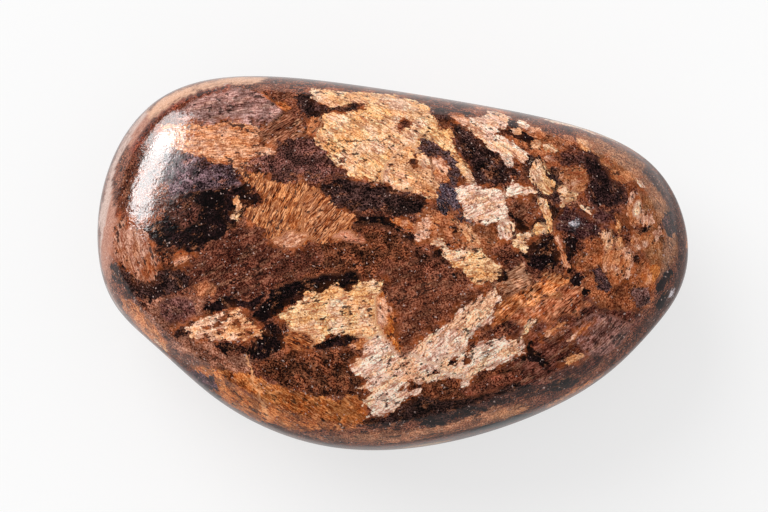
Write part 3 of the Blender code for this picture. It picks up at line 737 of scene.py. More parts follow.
    "third blade of the narrow end": (DEEP_BRONZE, 70, [
        (12.7, 3.4), (12.9, 3.9), (13.4, 3.7), (13.5, 3.0), (14.0, 2.8), (14.2, 2.3), (13.7, 1.9),
        (13.1, 1.8), (12.8, 2.2), (12.7, 2.8)]),
    "pink heart of the third blade": (PINK, 75, [
        (13.0, 2.7), (13.1, 3.3), (13.4, 3.5), (13.5, 2.9), (13.3, 2.5)]),
    "orange glow of the narrow end": (half_smooth(colour(196, 116, 60)), 60, [
        (13.5, -0.6), (13.9, 0.0), (14.3, 0.1), (14.5, -0.4), (14.1, -1.0), (13.7, -1.1)]),
    "tan foot of the narrow end": (colour(176, 110, 70), 50, [
        (13.0, 1.7), (13.4, 1.7), (14.0, 1.8), (14.5, 2.0), (14.7, 1.6), (14.2, 1.1), (13.6, 0.9),
        (13.2, 0.7), (12.9, 1.1)]),
    "tan streak above the narrow end": (DEEP_BRONZE, -35, [
        (11.6, 5.1), (12.1, 5.1), (12.9, 5.0), (13.0, 4.5), (12.6, 4.3), (12.1, 4.5), (11.9, 4.6),
        (11.7, 4.9)]),
    "lump above the tan streak": (RUST, -40, [
        (11.3, 5.9), (11.6, 5.8), (11.9, 5.4), (11.5, 5.5)]),
    "white chip of the upper right": (PINK, -50, [
        (13.2, 4.6), (13.5, 4.5), (13.7, 4.1), (13.4, 4.1)]),
    "sliver of the lower right": (PALE_BRONZE, 45, [
        (6.95, -4.05), (7.2, -3.7), (7.6, -3.3), (8.1, -3.0), (7.4, -3.0), (7.2, -3.4)]),
    "orange sliver of the lower right": (DEEP_BRONZE, 42, [
        (7.9, -4.2), (8.3, -3.6), (9.0, -3.2), (9.3, -3.2), (8.7, -3.7), (8.3, -4.1)]),
    "rust sliver beside it": (ORANGE, 40, [
        (9.4, -4.2), (10.0, -3.6), (10.8, -3.2), (10.3, -3.8), (9.8, -4.2)]),
    "tan spots of the lower right": (BRONZE, 20, [
        (9.3, -5.4), (9.6, -5.0), (10.2, -4.9), (10.4, -5.0), (10.0, -5.3), (9.6, -5.5)]),
    "gold streak of the lower left rim": (BRONZE, -40, [
        (-13.0, -4.0), (-12.4, -4.3), (-12.2, -4.6), (-12.4, -4.6), (-12.9, -4.2)]),
}
blades = Layer("blade")
blades.draw(BLADES)

# Black grains inside the blades. They cut the blade and show as part of the dark patches.
INCLUSIONS = {
    "black lens under the left wing": (BLACK, 15, [
        (-4.4, -4.6), (-4.1, -4.2), (-3.5, -3.9), (-2.9, -3.75), (-2.3, -3.8), (-1.9, -4.0),
        (-2.4, -4.3), (-3.0, -4.5), (-3.7, -4.7), (-4.2, -4.75)]),
    "branching slot in the small blade": (COFFEE, 20, [
        (-10.2, -3.4), (-9.6, -3.2), (-9.1, -2.95), (-8.95, -3.05), (-9.5, -3.35), (-10.1, -3.5)]),
    "upper slot in the small blade": (COFFEE, 15, [
        (-9.5, -2.95), (-9.0, -2.7), (-8.6, -2.75), (-9.0, -2.95)]),
    "right slot in the small blade": (COFFEE, 0, [
        (-8.9, -3.25), (-8.4, -3.05), (-7.9, -3.2), (-8.4, -3.35)]),
    "low slot in the small blade": (COFFEE, 10, [
        (-10.2, -3.85), (-9.4, -3.6), (-8.8, -3.65), (-9.4, -3.8)]),
    "last slot in the small blade": (COFFEE, -5, [
        (-8.4, -3.8), (-7.9, -3.6), (-7.4, -3.75), (-7.9, -3.9)]),
    "hook in the stem": (COFFEE, 20, [
        (0.5, -6.85), (0.9, -6.6), (0.8, -6.35), (1.1, -6.35), (1.35, -6.6), (0.9, -6.85)]),
    "first grain of the stem": (BLACK, 10, [(2.15, -5.9), (2.35, -5.75), (2.6, -5.85), (2.4, -6.0)]),
    "second grain of the stem": (BLACK, 20, [(3.0, -5.4), (3.4, -5.15), (3.6, -5.2), (3.3, -5.5)]),
    "third grain of the stem": (BLACK, 20, [(3.85, -5.2), (4.0, -5.05), (4.05, -5.25), (3.9, -5.35)]),
    "grain in the foot": (INK, 70, [(1.0, 5.5), (1.2, 5.9), (1.4, 5.6), (1.2, 5.2)]),
    "brown cloud in the top patch": (MAROON, 0, [
        (0.1, 7.4), (0.6, 7.9), (1.0, 7.7), (0.9, 7.4), (0.4, 7.2)]),
    "grain at the top patch's right": (COFFEE, -50, [(2.5, 7.6), (2.8, 7.7), (2.9, 7.3), (2.6, 7.3)]),
    "grain low in the top patch": (INK, 0, [(-3.0, 5.7), (-2.7, 5.75), (-2.7, 5.5), (-2.95, 5.5)]),
    "twin grains of the middle right": (BLACK, 0, [(3.1, 1.9), (3.5, 2.0), (3.5, 1.6), (3.2, 1.55)]),
    "grain in the mottled blade": (BLACK, 0, [(3.1, 0.95), (3.35, 0.9), (3.35, 0.7), (3.15, 0.75)]),
    "left grain of the middle right": (BLACK, 0, [
        (2.1, 0.6), (2.5, 0.8), (2.75, 0.6), (2.5, 0.3), (2.2, 0.3)]),
    "low grain of the middle right": (BLACK, 0, [
        (3.2, -0.3), (3.5, -0.2), (3.7, -0.5), (3.5, -0.8), (3.2, -0.6)]),
    "grain beside the right wing": (BLACK, 0, [
        (5.6, -0.7), (6.0, -0.2), (6.3, -0.3), (6.1, -0.9), (5.6, -1.0)]),
    "grain in the third end blade": (BLACK, 60, [(13.45, 3.1), (13.6, 3.0), (13.7, 2.7), (13.5, 2.7)]),
    "grain in the end's foot": (BLACK, 5, [
        (13.2, 2.0), (13.6, 2.05), (14.1, 1.95), (13.9, 1.75), (13.4, 1.6)]),
    "grain low in the narrow end": (BLACK, 60, [(13.1, 0.4), (13.4, 0.6), (13.4, 0.1), (13.1, 0.1)]),
    "slot in the first end blade": (COFFEE, 80, [(11.95, 1.9), (12.05, 1.8), (12.05, 1.0), (11.9, 1.1)]),
}
inclusions = Layer("inclusion")
inclusions.draw(INCLUSIONS)
GAP = 0.03
blades.depth = np.minimum(blades.depth, -inclusions.depth - GAP)
darks.lay_over(inclusions)

# The sides and the underside, which the photo hides. They carry the same three kinds of marking, of
# the same sizes and colours, grown at random with one grain that runs mostly along the stone.
GROWTH_SEED = 58
HIDDEN_FACING = 0.30
HIDDEN_SHARPNESS = 6.0
GRAIN_SPREAD_DEGREES = 40
GRAIN_LIFT = 0.5
OUTLINE_CORNERS = 14
RAGGEDNESS = (0.6, 1.15)

growth = np.random.default_rng(GROWTH_SEED)
hidden = (HIDDEN_FACING - facings @ np.array(to_camera)) * HIDDEN_SHARPNESS


def grow(layer, how_many, tints, lengths, slimness):
    """Grows markings with ragged outlines over the hidden part of the stone."""
    ground = np.flatnonzero(hidden > 0)
    for _ in range(how_many):
        seed = growth.choice(ground)
        turn = radians(growth.normal(0, GRAIN_SPREAD_DEGREES))
        along = np.array((cos(turn), sin(turn), growth.normal(0, GRAIN_LIFT)))
        length = growth.uniform(*lengths)
        width = length * growth.uniform(*slimness)
        steps = np.linspace(0, 2 * pi, OUTLINE_CORNERS, endpoint=False)
        reach = growth.uniform(*RAGGEDNESS, OUTLINE_CORNERS)
        outline = np.stack((np.cos(steps) * length * reach, np.sin(steps) * width * reach), axis=1) / 2
        tint = tints[growth.integers(len(tints))]
        axes = grain_axes(facings[seed], along)
        layer.add(corners[seed], axes, outline, tint, limit=hidden)


grow(fields, 60, (CHOCOLATE, RED_BROWN, RUST, ORANGE, DUSTY_BROWN, TAN), (3.0, 8.0), (0.3, 0.7))
grow(darks, 70, (BLACK, INK, COFFEE, VIOLET, MAROON), (1.5, 6.0), (0.25, 0.6))
grow(blades, 60, (BRONZE, DEEP_BRONZE, PALE_BRONZE, PINK, STRAW), (0.8, 5.5), (0.25, 0.55))
for layer in (fields, darks, blades):
    layer.write()

# The polish. Under a clear gloss the mineral is told apart by its colour: fibres run along every
# blade, edges are torn along the grain, and fine pits and pale specks are spread through it.
PER_MM = 1 / MM
INDEX_OF_REFRACTION = 1.58
WAVE_HEIGHT = 0.015 * MM
GLOSS_ROUGHNESS = 0.1
GAP_ROUGHNESS = 0.18
# A mineral with at least this share of fibres has its full grain
LIVELY = 0.2
HEALED_ORANGE = colour(226, 160, 112)
HALO_RUST = colour(172, 88, 42)
SPECK_GREY = colour(200, 170, 160)
SPLIT_BROWN = colour(86, 42, 30)
HAIRLINE_RED = colour(156, 60, 36)
CRACK_BROWN = colour(124, 62, 36)
PEPPER_BROWN = colour(104, 52, 34)
GAP_BLACK = colour(56, 32, 27)
# What these three do to the colour beneath: the first two multiply it, and the last one brightens it
# as a painted glint of light
STAIN_SHADE = (0.42, 0.32, 0.3, 1)
GOLD_SHADE = (0.94, 0.72, 0.46, 1)
PAINTED_GLINT_LIGHT = (0.36, 0.34, 0.36, 1)


def add_node(tree, kind, settings=None, **sockets):
    """Adds a node. sockets name its inputs, with _ for a space, and hold a value or a socket to join."""
    node = tree.nodes.new("ShaderNode" + kind)
    for name, value in (settings or {}).items():
        setattr(node, name, value)
    for name, value in sockets.items():
        if name.startswith("input_"):
            socket = node.inputs[int(name[6:])]
        else:
            socket = node.inputs[name.replace("_", " ")]
        if isinstance(value, bpy.types.NodeSocket):
            tree.links.new(value, socket)
        else:
            socket.default_value = value
    return node


def new_group(name, inputs, outputs):
    """Starts a node group. Gives the group, its inputs and the node that its results are joined to."""
    group = bpy.data.node_groups.new(name, "ShaderNodeTree")
    for direction, sockets in (("INPUT", inputs), ("OUTPUT", outputs)):
        for socket, kind in sockets:
            group.interface.new_socket(socket, in_out=direction, socket_type="NodeSocket" + kind)
    return group, group.nodes.new("NodeGroupInput").outputs, group.nodes.new("NodeGroupOutput").inputs


def maths(tree, operation, first, second=0.0, third=0.0):
    """One sum. Gives its result."""
    node = add_node(tree, "Math", {"operation": operation}, input_0=first, input_1=second, input_2=third)
    return node.outputs[0]


def times(tree, first, second):
    """One value times another."""
    return maths(tree, "MULTIPLY", first, second)


def moved_and_scaled(tree, vector, scales, move):
    """A place, scaled along each axis and then moved."""
    node = add_node(
        tree, "VectorMath", {"operation": "MULTIPLY_ADD"}, input_0=vector, input_1=scales, input_2=move)
    return node.outputs[0]


def stretched(tree, vector, scales):
    """A place, scaled along each axis."""
    return moved_and_scaled(tree, vector, scales, (0, 0, 0))


def reach_along(tree, vector, direction):
    """How far a place lies along a direction."""
    node = add_node(tree, "VectorMath", {"operation": "DOT_PRODUCT"}, input_0=vector, input_1=direction)
    return node.outputs["Value"]


def cloud(tree, vector, size, detail=4.0, roughness=0.6, along=1.0):
    """Cloudy noise around one half, with clouds of this size in millimetres.

    Where along is under 1, the clouds are drawn out along the grain.
    """
    if along != 1.0:
        vector = stretched(tree, vector, (along, 1.0, 1.0))
    node = add_node(
        tree, "TexNoise", Vector=vector, Scale=1 / size, Detail=detail, Roughness=roughness)
    return node.outputs["Fac"]


def centred(tree, value):
    """A noise around one half, brought to around nothing."""
    return maths(tree, "SUBTRACT", value, 0.5)


def ramp(tree, value, low, high, start=0.0, end=1.0):
    """Turns a value between low and high into one between start and end, smoothly."""
    node = add_node(
        tree, "MapRange", {"interpolation_type": "SMOOTHSTEP"},
        Value=value, From_Min=low, From_Max=high, To_Min=start, To_Max=end)
    return node.outputs["Result"]


def patches(tree, vector, size, low, high, detail=4.0, roughness=0.6, along=1.0):
    """Patches of this size in millimetres: 0 where the clouds are under low, and 1 where over high."""
    return ramp(tree, cloud(tree, vector, size, detail, roughness, along), low, high)


def mix(tree, factor, first, second, blend="MIX", most=1.0):
    """Mixes two colours. most is the second one's share where the factor is 1."""
    if most != 1.0:
        factor = times(tree, factor, most)
    node = add_node(
        tree, "Mix", {"data_type": "RGBA", "blend_type": blend}, input_0=factor, input_6=first,
        input_7=second)
    return node.outputs[2]


# A torn edge: the marking's own outline, torn at every size down to a single grain
torn, given, result = new_group(
    "torn edge",
    (("Depth", "Float"), ("Grain", "Vector"), ("Tear", "Float"), ("Fray", "Float"), ("Softness", "Float")),
    (("Inside", "Float"),))
tear = centred(torn, cloud(torn, stretched(torn, given["Grain"], (0.7, 1.1, 1.1)), 0.8, 3.0))
fray = centred(torn, cloud(torn, given["Grain"], 0.2, 3.0, along=0.7))
torn_depth = maths(torn, "MULTIPLY_ADD", tear, given["Tear"], given["Depth"])
torn_depth = maths(torn, "MULTIPLY_ADD", fray, given["Fray"], torn_depth)
edge = ramp(torn, torn_depth, times(torn, given["Softness"], -1.0), given["Softness"])
torn.links.new(edge, result["Inside"])

# The grain of the mineral: fine grit on a granular one, and long thin strands on a fibrous one
grained, given, result = new_group(
    "mineral grain",
    (("Colour", "Color"), ("Fibrous", "Float"), ("Grain", "Vector"), ("Contrast", "Float")),
    (("Colour", "Color"),))
grit = centred(grained, cloud(grained, given["Grain"], 0.085, 2.0, 0.7))
strand = centred(grained, cloud(grained, given["Grain"], 0.075, 2.0, 0.7, along=0.2))
bundle = centred(grained, cloud(grained, given["Grain"], 0.45, 3.0, along=0.2))
granular_tone = maths(grained, "MULTIPLY_ADD", grit, 8.5, bundle)
fibrous_tone = maths(grained, "MULTIPLY_ADD", strand, 6.5, times(grained, bundle, 2.0))
tone = add_node(
    grained, "Mix", {"data_type": "FLOAT"}, input_0=given["Fibrous"], input_2=granular_tone,
    input_3=fibrous_tone)
liveliness = ramp(grained, given["Fibrous"], SMOOTH, LIVELY, 0.3, 1.0)
tone = times(grained, tone.outputs[0], times(grained, given["Contrast"], liveliness))
darker = maths(grained, "MAXIMUM", maths(grained, "MULTIPLY_ADD", tone, 0.45, 1.0), 0.12)
redder = maths(grained, "MAXIMUM", maths(grained, "MULTIPLY_ADD", tone, -0.55, 1.0), 0.75)
toned = mix(grained, 1.0, given["Colour"], darker, "MULTIPLY")
toned = add_node(grained, "Gamma", Color=toned, Gamma=redder)
grained.links.new(toned.outputs["Color"], result["Colour"])

# Gaps: small holes along the grain, of every size, that crowd together in some places
gapped, given, result = new_group(
    "gaps", (("Grain", "Vector"), ("Share", "Float")), (("Gap", "Float"),))
crowding = centred(gapped, cloud(gapped, given["Grain"], 1.3, 2.0, along=0.7))
holes = cloud(gapped, given["Grain"], 0.2, 2.0, along=0.6)
level = maths(gapped, "MULTIPLY_ADD", crowding, 0.5, holes)
level = maths(gapped, "ADD", level, given["Share"])
gapped.links.new(ramp(gapped, level, 0.65, 0.69), result["Gap"])

# Cracks: a fine net of dark lines breaks a blade into small tiles, each a little lighter or darker,
# and long thin partings run through it
cracked, given, result = new_group(
    "cracks", (("Grain", "Vector"),), (("Crack", "Float"), ("Tile", "Float")))
bend = add_node(cracked, "TexNoise", Vector=given["Grain"], Scale=2.5, Detail=3.0)
bent = moved_and_scaled(
    cracked, bend.outputs["Color"], (0.5, 0.5, 0.5), stretched(cracked, given["Grain"], (0.6, 1.0, 1.0)))
tiles = add_node(cracked, "TexVoronoi", {"feature": "DISTANCE_TO_EDGE"}, Vector=bent, Scale=2.8)
line = ramp(cracked, tiles.outputs["Distance"], 0.02, 0.11, 1.0, 0.0)
some = patches(cracked, given["Grain"], 0.7, 0.44, 0.58, 2.0)
slats = add_node(
    cracked, "TexVoronoi", {"feature": "DISTANCE_TO_EDGE"},
    Vector=stretched(cracked, bent, (0.16, 1.0, 1.0)), Scale=3.6)
parting = ramp(cracked, slats.outputs["Distance"], 0.03, 0.16, 1.0, 0.0)
few = patches(cracked, given["Grain"], 0.5, 0.46, 0.56, 3.0)
line = maths(cracked, "MAXIMUM", times(cracked, line, some), times(cracked, parting, few))
cracked.links.new(line, result["Crack"])
shades = add_node(cracked, "TexVoronoi", Vector=bent, Scale=2.8)
shade_of_tile = add_node(cracked, "SeparateColor", Color=shades.outputs["Color"])
cracked.links.new(shade_of_tile.outputs[0], result["Tile"])

# Specks: small separate grains, each of its own size
specked, given, result = new_group(
    "specks", (("Place", "Vector"), ("Size", "Float"), ("Share", "Float")), (("Speck", "Float"),))
wobble = add_node(specked, "TexNoise", Vector=given["Place"], Scale=6.0, Detail=2.0)
wobbled = moved_and_scaled(specked, wobble.outputs["Color"], (0.3, 0.3, 0.3), given["Place"])
spacing = maths(specked, "DIVIDE", 1.0, given["Size"])
cells = add_node(specked, "TexVoronoi", Vector=wobbled, Scale=spacing)
chance = add_node(specked, "SeparateColor", Color=cells.outputs["Color"])
picked = maths(specked, "LESS_THAN", chance.outputs[0], given["Share"])
radius = maths(specked, "MULTIPLY_ADD", chance.outputs[1], 0.3, 0.15)
near = maths(specked, "SUBTRACT", radius, cells.outputs["Distance"])
specked.links.new(times(specked, ramp(specked, near, -0.05, 0.1), picked), result["Speck"])


def add_group(tree, group, **sockets):
    """Places a node group. Gives its first result."""
    node = add_node(tree, "Group", {"node_tree": group}, **sockets)
    return node.outputs[0]


def layer_sockets(tree, name):
    """The depth, grain, colour and share of fibres of one kind of marking."""
    depth, grain, tint = [
        add_node(tree, "Attribute", {"attribute_name": name + what}).outputs
        for what in (" depth", " grain", " colour")
    ]
    return depth["Fac"], grain["Vector"], tint["Color"], tint["Alpha"]


polish = bpy.data.materials.new("polished bronzite")
polish.use_nodes = True
tree = polish.node_tree
surface = tree.nodes["Principled BSDF"]
place = stretched(tree, add_node(tree, "TexCoord").outputs["Object"], (PER_MM, PER_MM, PER_MM))
field_depth, field_grain, field_colour, field_fibrous = layer_sockets(tree, "field")
dark_depth, dark_grain, dark_colour, _ = layer_sockets(tree, "dark")
blade_depth, blade_grain, blade_colour, blade_fibrous = layer_sockets(tree, "blade")


def crack_line(start_x, start_y, end_x, end_y, width):
    """A thin crack between two points of the camera's plane. It is a wavy cut straight down."""
    middle = Vector(touch((start_x + end_x) / 2, (start_y + end_y) / 2)[0])
    run = picture_right * (end_x - start_x) + picture_up * (end_y - start_y)
    away = add_node(tree, "VectorMath", {"operation": "SUBTRACT"}, input_0=place, input_1=middle).outputs[0]
    wave = centred(tree, cloud(tree, place, 0.5, 4.0, 0.65))
    aside = reach_along(tree, away, run.cross(to_camera).normalized())
    aside = maths(tree, "ABSOLUTE", maths(tree, "MULTIPLY_ADD", wave, 0.9, aside))
    line = ramp(tree, aside, width * 0.4, width, 1.0, 0.0)
    reach = maths(tree, "ABSOLUTE", reach_along(tree, away, run.normalized()))
    line = times(tree, line, ramp(tree, reach, run.length * 0.42, run.length * 0.5, 1.0, 0.0))
    return times(tree, line, ramp(tree, reach_along(tree, away, to_camera), -4.0, -3.0))


# The mass between the markings, and the brown fields in it
mass = mix(tree, patches(tree, place, 1.6, 0.44, 0.56), CHOCOLATE, RED_BROWN)
mass = add_group(tree, grained, Colour=mass, Fibrous=GRANULAR, Grain=place, Contrast=1.2)
lively = ramp(tree, field_fibrous, SMOOTH, LIVELY)
fibres = ramp(tree, field_fibrous, GRANULAR, FIBROUS)
stain = times(tree, patches(tree, field_grain, 0.8, 0.47, 0.6, along=0.3), lively)
stained = mix(tree, 1.0, field_colour, STAIN_SHADE, "MULTIPLY")
field = mix(tree, stain, field_colour, stained, most=0.75)
streak = patches(tree, field_grain, 0.3, 0.53, 0.62, 4.0, 0.65, along=0.2)
field = mix(tree, times(tree, streak, maths(tree, "MULTIPLY_ADD", fibres, 0.1, 0.06)), field, BRONZE)
field = add_group(
    tree, grained, Colour=field, Fibrous=field_fibrous, Grain=field_grain,
    Contrast=maths(tree, "MULTIPLY_ADD", fibres, 0.2, 0.8))
field_inside = add_group(
    tree, torn, Depth=field_depth, Grain=field_grain, Tear=1.6, Fray=0.8,
    Softness=ramp(tree, field_fibrous, SMOOTH, LIVELY, 0.35, 0.1))
ground = mix(tree, field_inside, mass, field)
healed_crack = crack_line(-8.0, -4.8, -6.7, -8.5, 0.09)
ground = mix(tree, healed_crack, ground, HEALED_ORANGE, most=0.75)

# The dark patches, with clouds of violet and rust in them
dark_cloud = ramp(tree, cloud(tree, dark_grain, 0.7, 3.0), 0.42, 0.6, 0.45, 1.45)
dark = mix(tree, 1.0, dark_colour, dark_cloud, "MULTIPLY")
rust_stain = patches(tree, dark_grain, 0.5, 0.54, 0.64, 5.0, 0.7, along=0.6)
dark = mix(tree, rust_stain, dark, RUST, most=0.35)
dark = add_group(tree, grained, Colour=dark, Fibrous=GRANULAR, Grain=dark_grain, Contrast=1.25)
dark_inside = add_group(
    tree, torn, Depth=dark_depth, Grain=dark_grain, Tear=1.2, Fray=0.6, Softness=0.04)
ground = mix(tree, dark_inside, ground, dark)

# What lies over both: black gaps, a rusty halo round the blades, broad shades and pale specks
black_gap = add_group(tree, gapped, Grain=stretched(tree, field_grain, (0.8, 0.8, 0.8)), Share=0.03)
ground = mix(tree, times(tree, black_gap, lively), ground, BLACK, most=0.75)
halo = times(tree, ramp(tree, blade_depth, -0.6, 0.0), patches(tree, place, 0.5, 0.44, 0.56))
halo = times(tree, halo, maths(tree, "MULTIPLY_ADD", dark_inside, -0.35, 0.45))
ground = mix(tree, halo, ground, HALO_RUST)
shade = ramp(tree, cloud(tree, place, 0.7, 5.0, 0.7), 0.42, 0.58, 0.68, 1.4)
shade = maths(tree, "MULTIPLY_ADD", maths(tree, "SUBTRACT", shade, 1.0), lively, 1.0)
ground = mix(tree, 1.0, ground, shade, "MULTIPLY")
pale_speck = add_group(tree, specked, Place=place, Size=0.12, Share=0.1)
ground = mix(tree, pale_speck, ground, SPECK_GREY, most=0.7)

# The blades: pink and gold clouds, small tiles of their own shade, and dark splits between the fibres
granular = ramp(tree, blade_fibrous, GRANULAR, FIBROUS, 1.0, 0.0)
flush = patches(tree, blade_grain, 1.5, 0.46, 0.6, 2.0)
blade = mix(tree, times(tree, flush, granular), blade_colour, PINK, most=0.5)
gold_cloud = patches(tree, blade_grain, 0.6, 0.46, 0.58, 4.0, 0.65, along=0.5)
golden = mix(tree, 1.0, blade, GOLD_SHADE, "MULTIPLY")
blade = mix(tree, gold_cloud, blade, golden, most=0.7)
crack = add_node(tree, "Group", {"node_tree": cracked}, Grain=blade_grain)
tile_shade = ramp(tree, crack.outputs["Tile"], 0.0, 1.0, 0.9, 1.3)
tile_shade = mix(tree, blade_fibrous, tile_shade, (1, 1, 1, 1))
blade = mix(tree, 1.0, blade, tile_shade, "MULTIPLY")
split = patches(tree, blade_grain, 0.15, 0.5, 0.6, 3.0, 0.65, along=0.18)
split = times(tree, split, maths(tree, "MULTIPLY_ADD", granular, -0.72, 0.72))
blade = mix(tree, split, blade, SPLIT_BROWN)
blade = add_group(
    tree, grained, Colour=blade, Fibrous=blade_fibrous, Grain=blade_grain,
    Contrast=maths(tree, "MULTIPLY_ADD", granular, -0.66, 1.3))

# The fine lines of a blade: painted glints of light, and red hairlines along its grain, cracks and
# brown pepper
# Painted highlights: bright glints along the grain of the granular blades
glint = patches(tree, blade_grain, 0.09, 0.56, 0.66, 2.0, along=0.2)
blade = mix(tree, times(tree, glint, granular), blade, PAINTED_GLINT_LIGHT, "DODGE", most=0.65)
hair_place = moved_and_scaled(tree, blade_grain, (0.12, 1.0, 1.0), (7.0, 3.0, 5.0))
hairline = patches(tree, hair_place, 0.1, 0.57, 0.62, 2.0)
blade = mix(tree, times(tree, hairline, granular), blade, HAIRLINE_RED, most=0.6)
blade = mix(tree, crack.outputs["Crack"], blade, CRACK_BROWN, most=0.62)
pepper = add_group(tree, specked, Place=blade_grain, Size=0.12, Share=0.24)
blade = mix(tree, pepper, blade, PEPPER_BROWN, most=0.85)

# Gaps in the blades, most of all near their edges, and one long crack
near_edge = ramp(tree, blade_depth, 0.0, 0.8, 0.035, 0.008)
gap = add_group(tree, gapped, Grain=blade_grain, Share=near_edge)
gap = maths(tree, "MAXIMUM", gap, crack_line(-4.3, 6.65, 0.2, 6.75, 0.05))
blade = mix(tree, gap, blade, GAP_BLACK, most=0.9)
blade_inside = add_group(
    tree, torn, Depth=blade_depth, Grain=blade_grain, Tear=0.7, Fray=0.65, Softness=0.02)
final_colour = mix(tree, blade_inside, ground, blade)
tree.links.new(final_colour, surface.inputs["Base Color"])

# The gloss: even, but with faint waves, and dull in the gaps
pits = times(tree, gap, blade_inside)
tree.links.new(ramp(tree, pits, 0.0, 1.0, GLOSS_ROUGHNESS, GAP_ROUGHNESS), surface.inputs["Roughness"])
waves = cloud(tree, place, 0.5, 2.0)
scratches = cloud(tree, place, 0.14, 2.0)
relief = maths(tree, "MULTIPLY_ADD", scratches, 0.3, waves)
bump = add_node(tree, "Bump", Strength=1.0, Distance=WAVE_HEIGHT, Height=relief)
tree.links.new(bump.outputs["Normal"], surface.inputs["Normal"])
surface.inputs["IOR"].default_value = INDEX_OF_REFRACTION
stone.data.materials.clear()
stone.data.materials.append(polish)
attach(stone, "root")
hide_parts("bronzite_stone")

# The table: a plain white sheet. The polish mirrors it darker than it is, which keeps the stone's flanks
# clear, but brighter close around the stone, behind it and at its far left, which makes the pale rims.
FLOOR_SIZE = 3.0
FLOOR_ROUGHNESS = 0.9
# The sheet's white as the camera sees it, as the polish mirrors it, and for the light it throws back
WHITE_TO_CAMERA = 0.3
WHITE_IN_POLISH = 0.32
WHITE_AS_LIGHT = 0.92
GLOW_TO_CAMERA = 0.645
# The mirrored glow close around the stone ends between these two sizes of the stone's own outline
STONE_HALF_SIZES = (16 * MM, 10.2 * MM)
RING_ENDS = (1.1, 1.3)
RING_GLOW = 0.24
# The mirrored glow farther off grows along these directions, from a first distance to a second one
FAR_GLOW = 0.4
FAR_GLOW_BEYOND = {
    "far left": ((-0.85, 0.5, 0), 9.5 * MM, 13.5 * MM),
    "behind": ((0.15, 1, 0), 10.5 * MM, 13.5 * MM),
}

bpy.ops.object.select_all(action="DESELECT")
bpy.ops.mesh.primitive_plane_add(size=FLOOR_SIZE, location=(0, 0, 0))
floor = bpy.context.object
floor.name = "floor"
sheet = bpy.data.materials.new("white sheet")
sheet.use_nodes = True
tree = sheet.node_tree
paper = tree.nodes["Principled BSDF"]
paper.inputs["Roughness"].default_value = FLOOR_ROUGHNESS
paper.inputs["Emission Color"].default_value = (1, 1, 1, 1)
rays = add_node(tree, "LightPath").outputs
in_polish = ramp(tree, rays["Is Glossy Ray"], 0, 1, WHITE_AS_LIGHT, WHITE_IN_POLISH)
whiteness = ramp(tree, rays["Is Camera Ray"], 0, 1, in_polish, WHITE_TO_CAMERA)
tree.links.new(whiteness, paper.inputs["Base Color"])
spot = add_node(tree, "TexCoord").outputs["Object"]
from_stone = stretched(tree, spot, (1 / STONE_HALF_SIZES[0], 1 / STONE_HALF_SIZES[1], 0))
ring = add_node(tree, "VectorMath", {"operation": "LENGTH"}, input_0=from_stone)
mirrored_glow = ramp(tree, ring.outputs["Value"], *RING_ENDS, RING_GLOW, 0.0)
for direction, first, second in FAR_GLOW_BEYOND.values():
    beyond = ramp(tree, reach_along(tree, spot, direction), first, second, 0.0, FAR_GLOW)
    mirrored_glow = maths(tree, "MAXIMUM", mirrored_glow, beyond)
mirrored_glow = times(tree, mirrored_glow, rays["Is Glossy Ray"])
glow = maths(tree, "MULTIPLY_ADD", rays["Is Camera Ray"], GLOW_TO_CAMERA, mirrored_glow)
tree.links.new(glow, paper.inputs["Emission Strength"])
floor.data.materials.append(sheet)

# The studio light. Three soft lamps stand at the upper left, a tall one and two fainter ones, and show
# together as the long highlight on the broad end. The other light is soft and comes from all over.
LAMP_DISTANCE = 0.5
TENT_BRIGHTNESS = 1.9
TENT_WIDTH_DEGREES = 50
TENT_TURN_DEGREES = (-30, -38, 0)
STUDIO_BRIGHTNESS = 0.68
STUDIO_IN_POLISH = 0.045
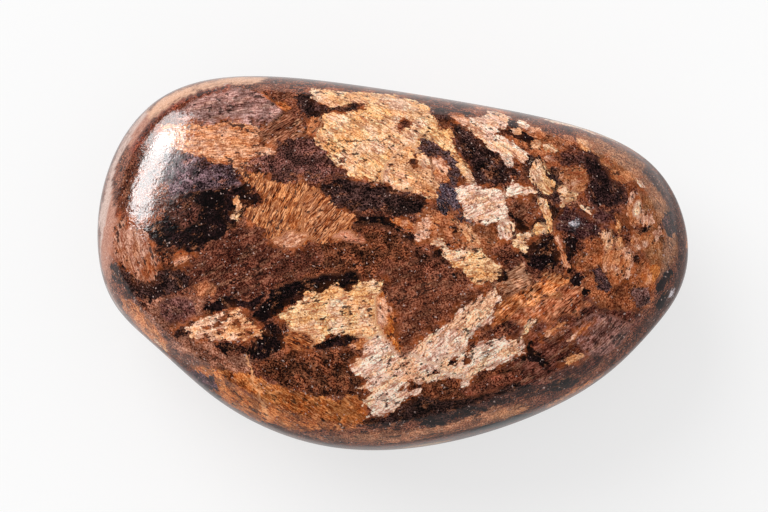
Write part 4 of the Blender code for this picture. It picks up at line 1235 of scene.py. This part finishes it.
# Each lamp's brightness, and the corners of its highlight in the camera's plane: low left, low right,
# high right and high left
HIGHLIGHTS = {
    "tall soft lamp": (15.0, ((-13.5, 3.2), (-12.4, 3.2), (-12.3, 6.5), (-13.4, 6.8))),
    "soft lamp behind it": (8.0, ((-12.9, 6.9), (-11.4, 6.6), (-11.5, 7.8), (-12.6, 8.0))),
    "faint lamp beside it": (3.2, ((-12.3, 3.8), (-11.4, 4.2), (-11.2, 6.4), (-12.2, 6.6))),
}


def mirrored(x, y):
    """Where the stone mirrors the camera's ray to, from this point of the camera's plane."""
    point, facing = touch(x, y)
    point = Vector(point) * MM
    facing = Vector(facing)
    eye_way = (HEART + to_camera * CAMERA_DISTANCE - point).normalized()
    return point + (facing * (2 * facing.dot(eye_way)) - eye_way) * LAMP_DISTANCE


for name, (brightness, corners_of_highlight) in HIGHLIGHTS.items():
    low_left, low_right, high_right, high_left = [mirrored(x, y) for x, y in corners_of_highlight]
    lamp_place = (low_left + low_right + high_right + high_left) / 4
    across = (low_right - low_left + high_right - high_left) / 2
    upward = (high_left - low_left + high_right - low_right) / 2
    lamp_back = (lamp_place - HEART).normalized()
    lamp_right = (across - lamp_back * across.dot(lamp_back)).normalized()
    lamp_up = lamp_back.cross(lamp_right)
    bpy.ops.object.light_add(type="AREA", location=lamp_place)
    lamp = bpy.context.object
    lamp.name = name
    lamp.data.shape = "RECTANGLE"
    lamp.data.size = across.length
    lamp.data.size_y = upward.length
    lamp.data.energy = brightness * pi * across.length * upward.length
    lamp.rotation_mode = "QUATERNION"
    lamp.rotation_quaternion = Matrix((lamp_right, lamp_up, lamp_back)).transposed().to_quaternion()
    lamp.visible_camera = False
    lamp.visible_diffuse = False

bpy.ops.object.light_add(type="SUN", location=(0, 0, 1))
tent = bpy.context.object
tent.name = "light tent"
tent.data.energy = TENT_BRIGHTNESS
tent.data.angle = radians(TENT_WIDTH_DEGREES)
tent.rotation_euler = [radians(turn) for turn in TENT_TURN_DEGREES]
tent.visible_glossy = False

world = bpy.data.worlds.new("studio")
bpy.context.scene.world = world
world.use_nodes = True
tree = world.node_tree
studio = tree.nodes["Background"]
studio.inputs["Color"].default_value = (1, 1, 1, 1)
in_polish = add_node(tree, "LightPath").outputs["Is Glossy Ray"]
tree.links.new(ramp(tree, in_polish, 0, 1, STUDIO_BRIGHTNESS, STUDIO_IN_POLISH), studio.inputs["Strength"])
bpy.context.scene.view_settings.view_transform = "Standard"
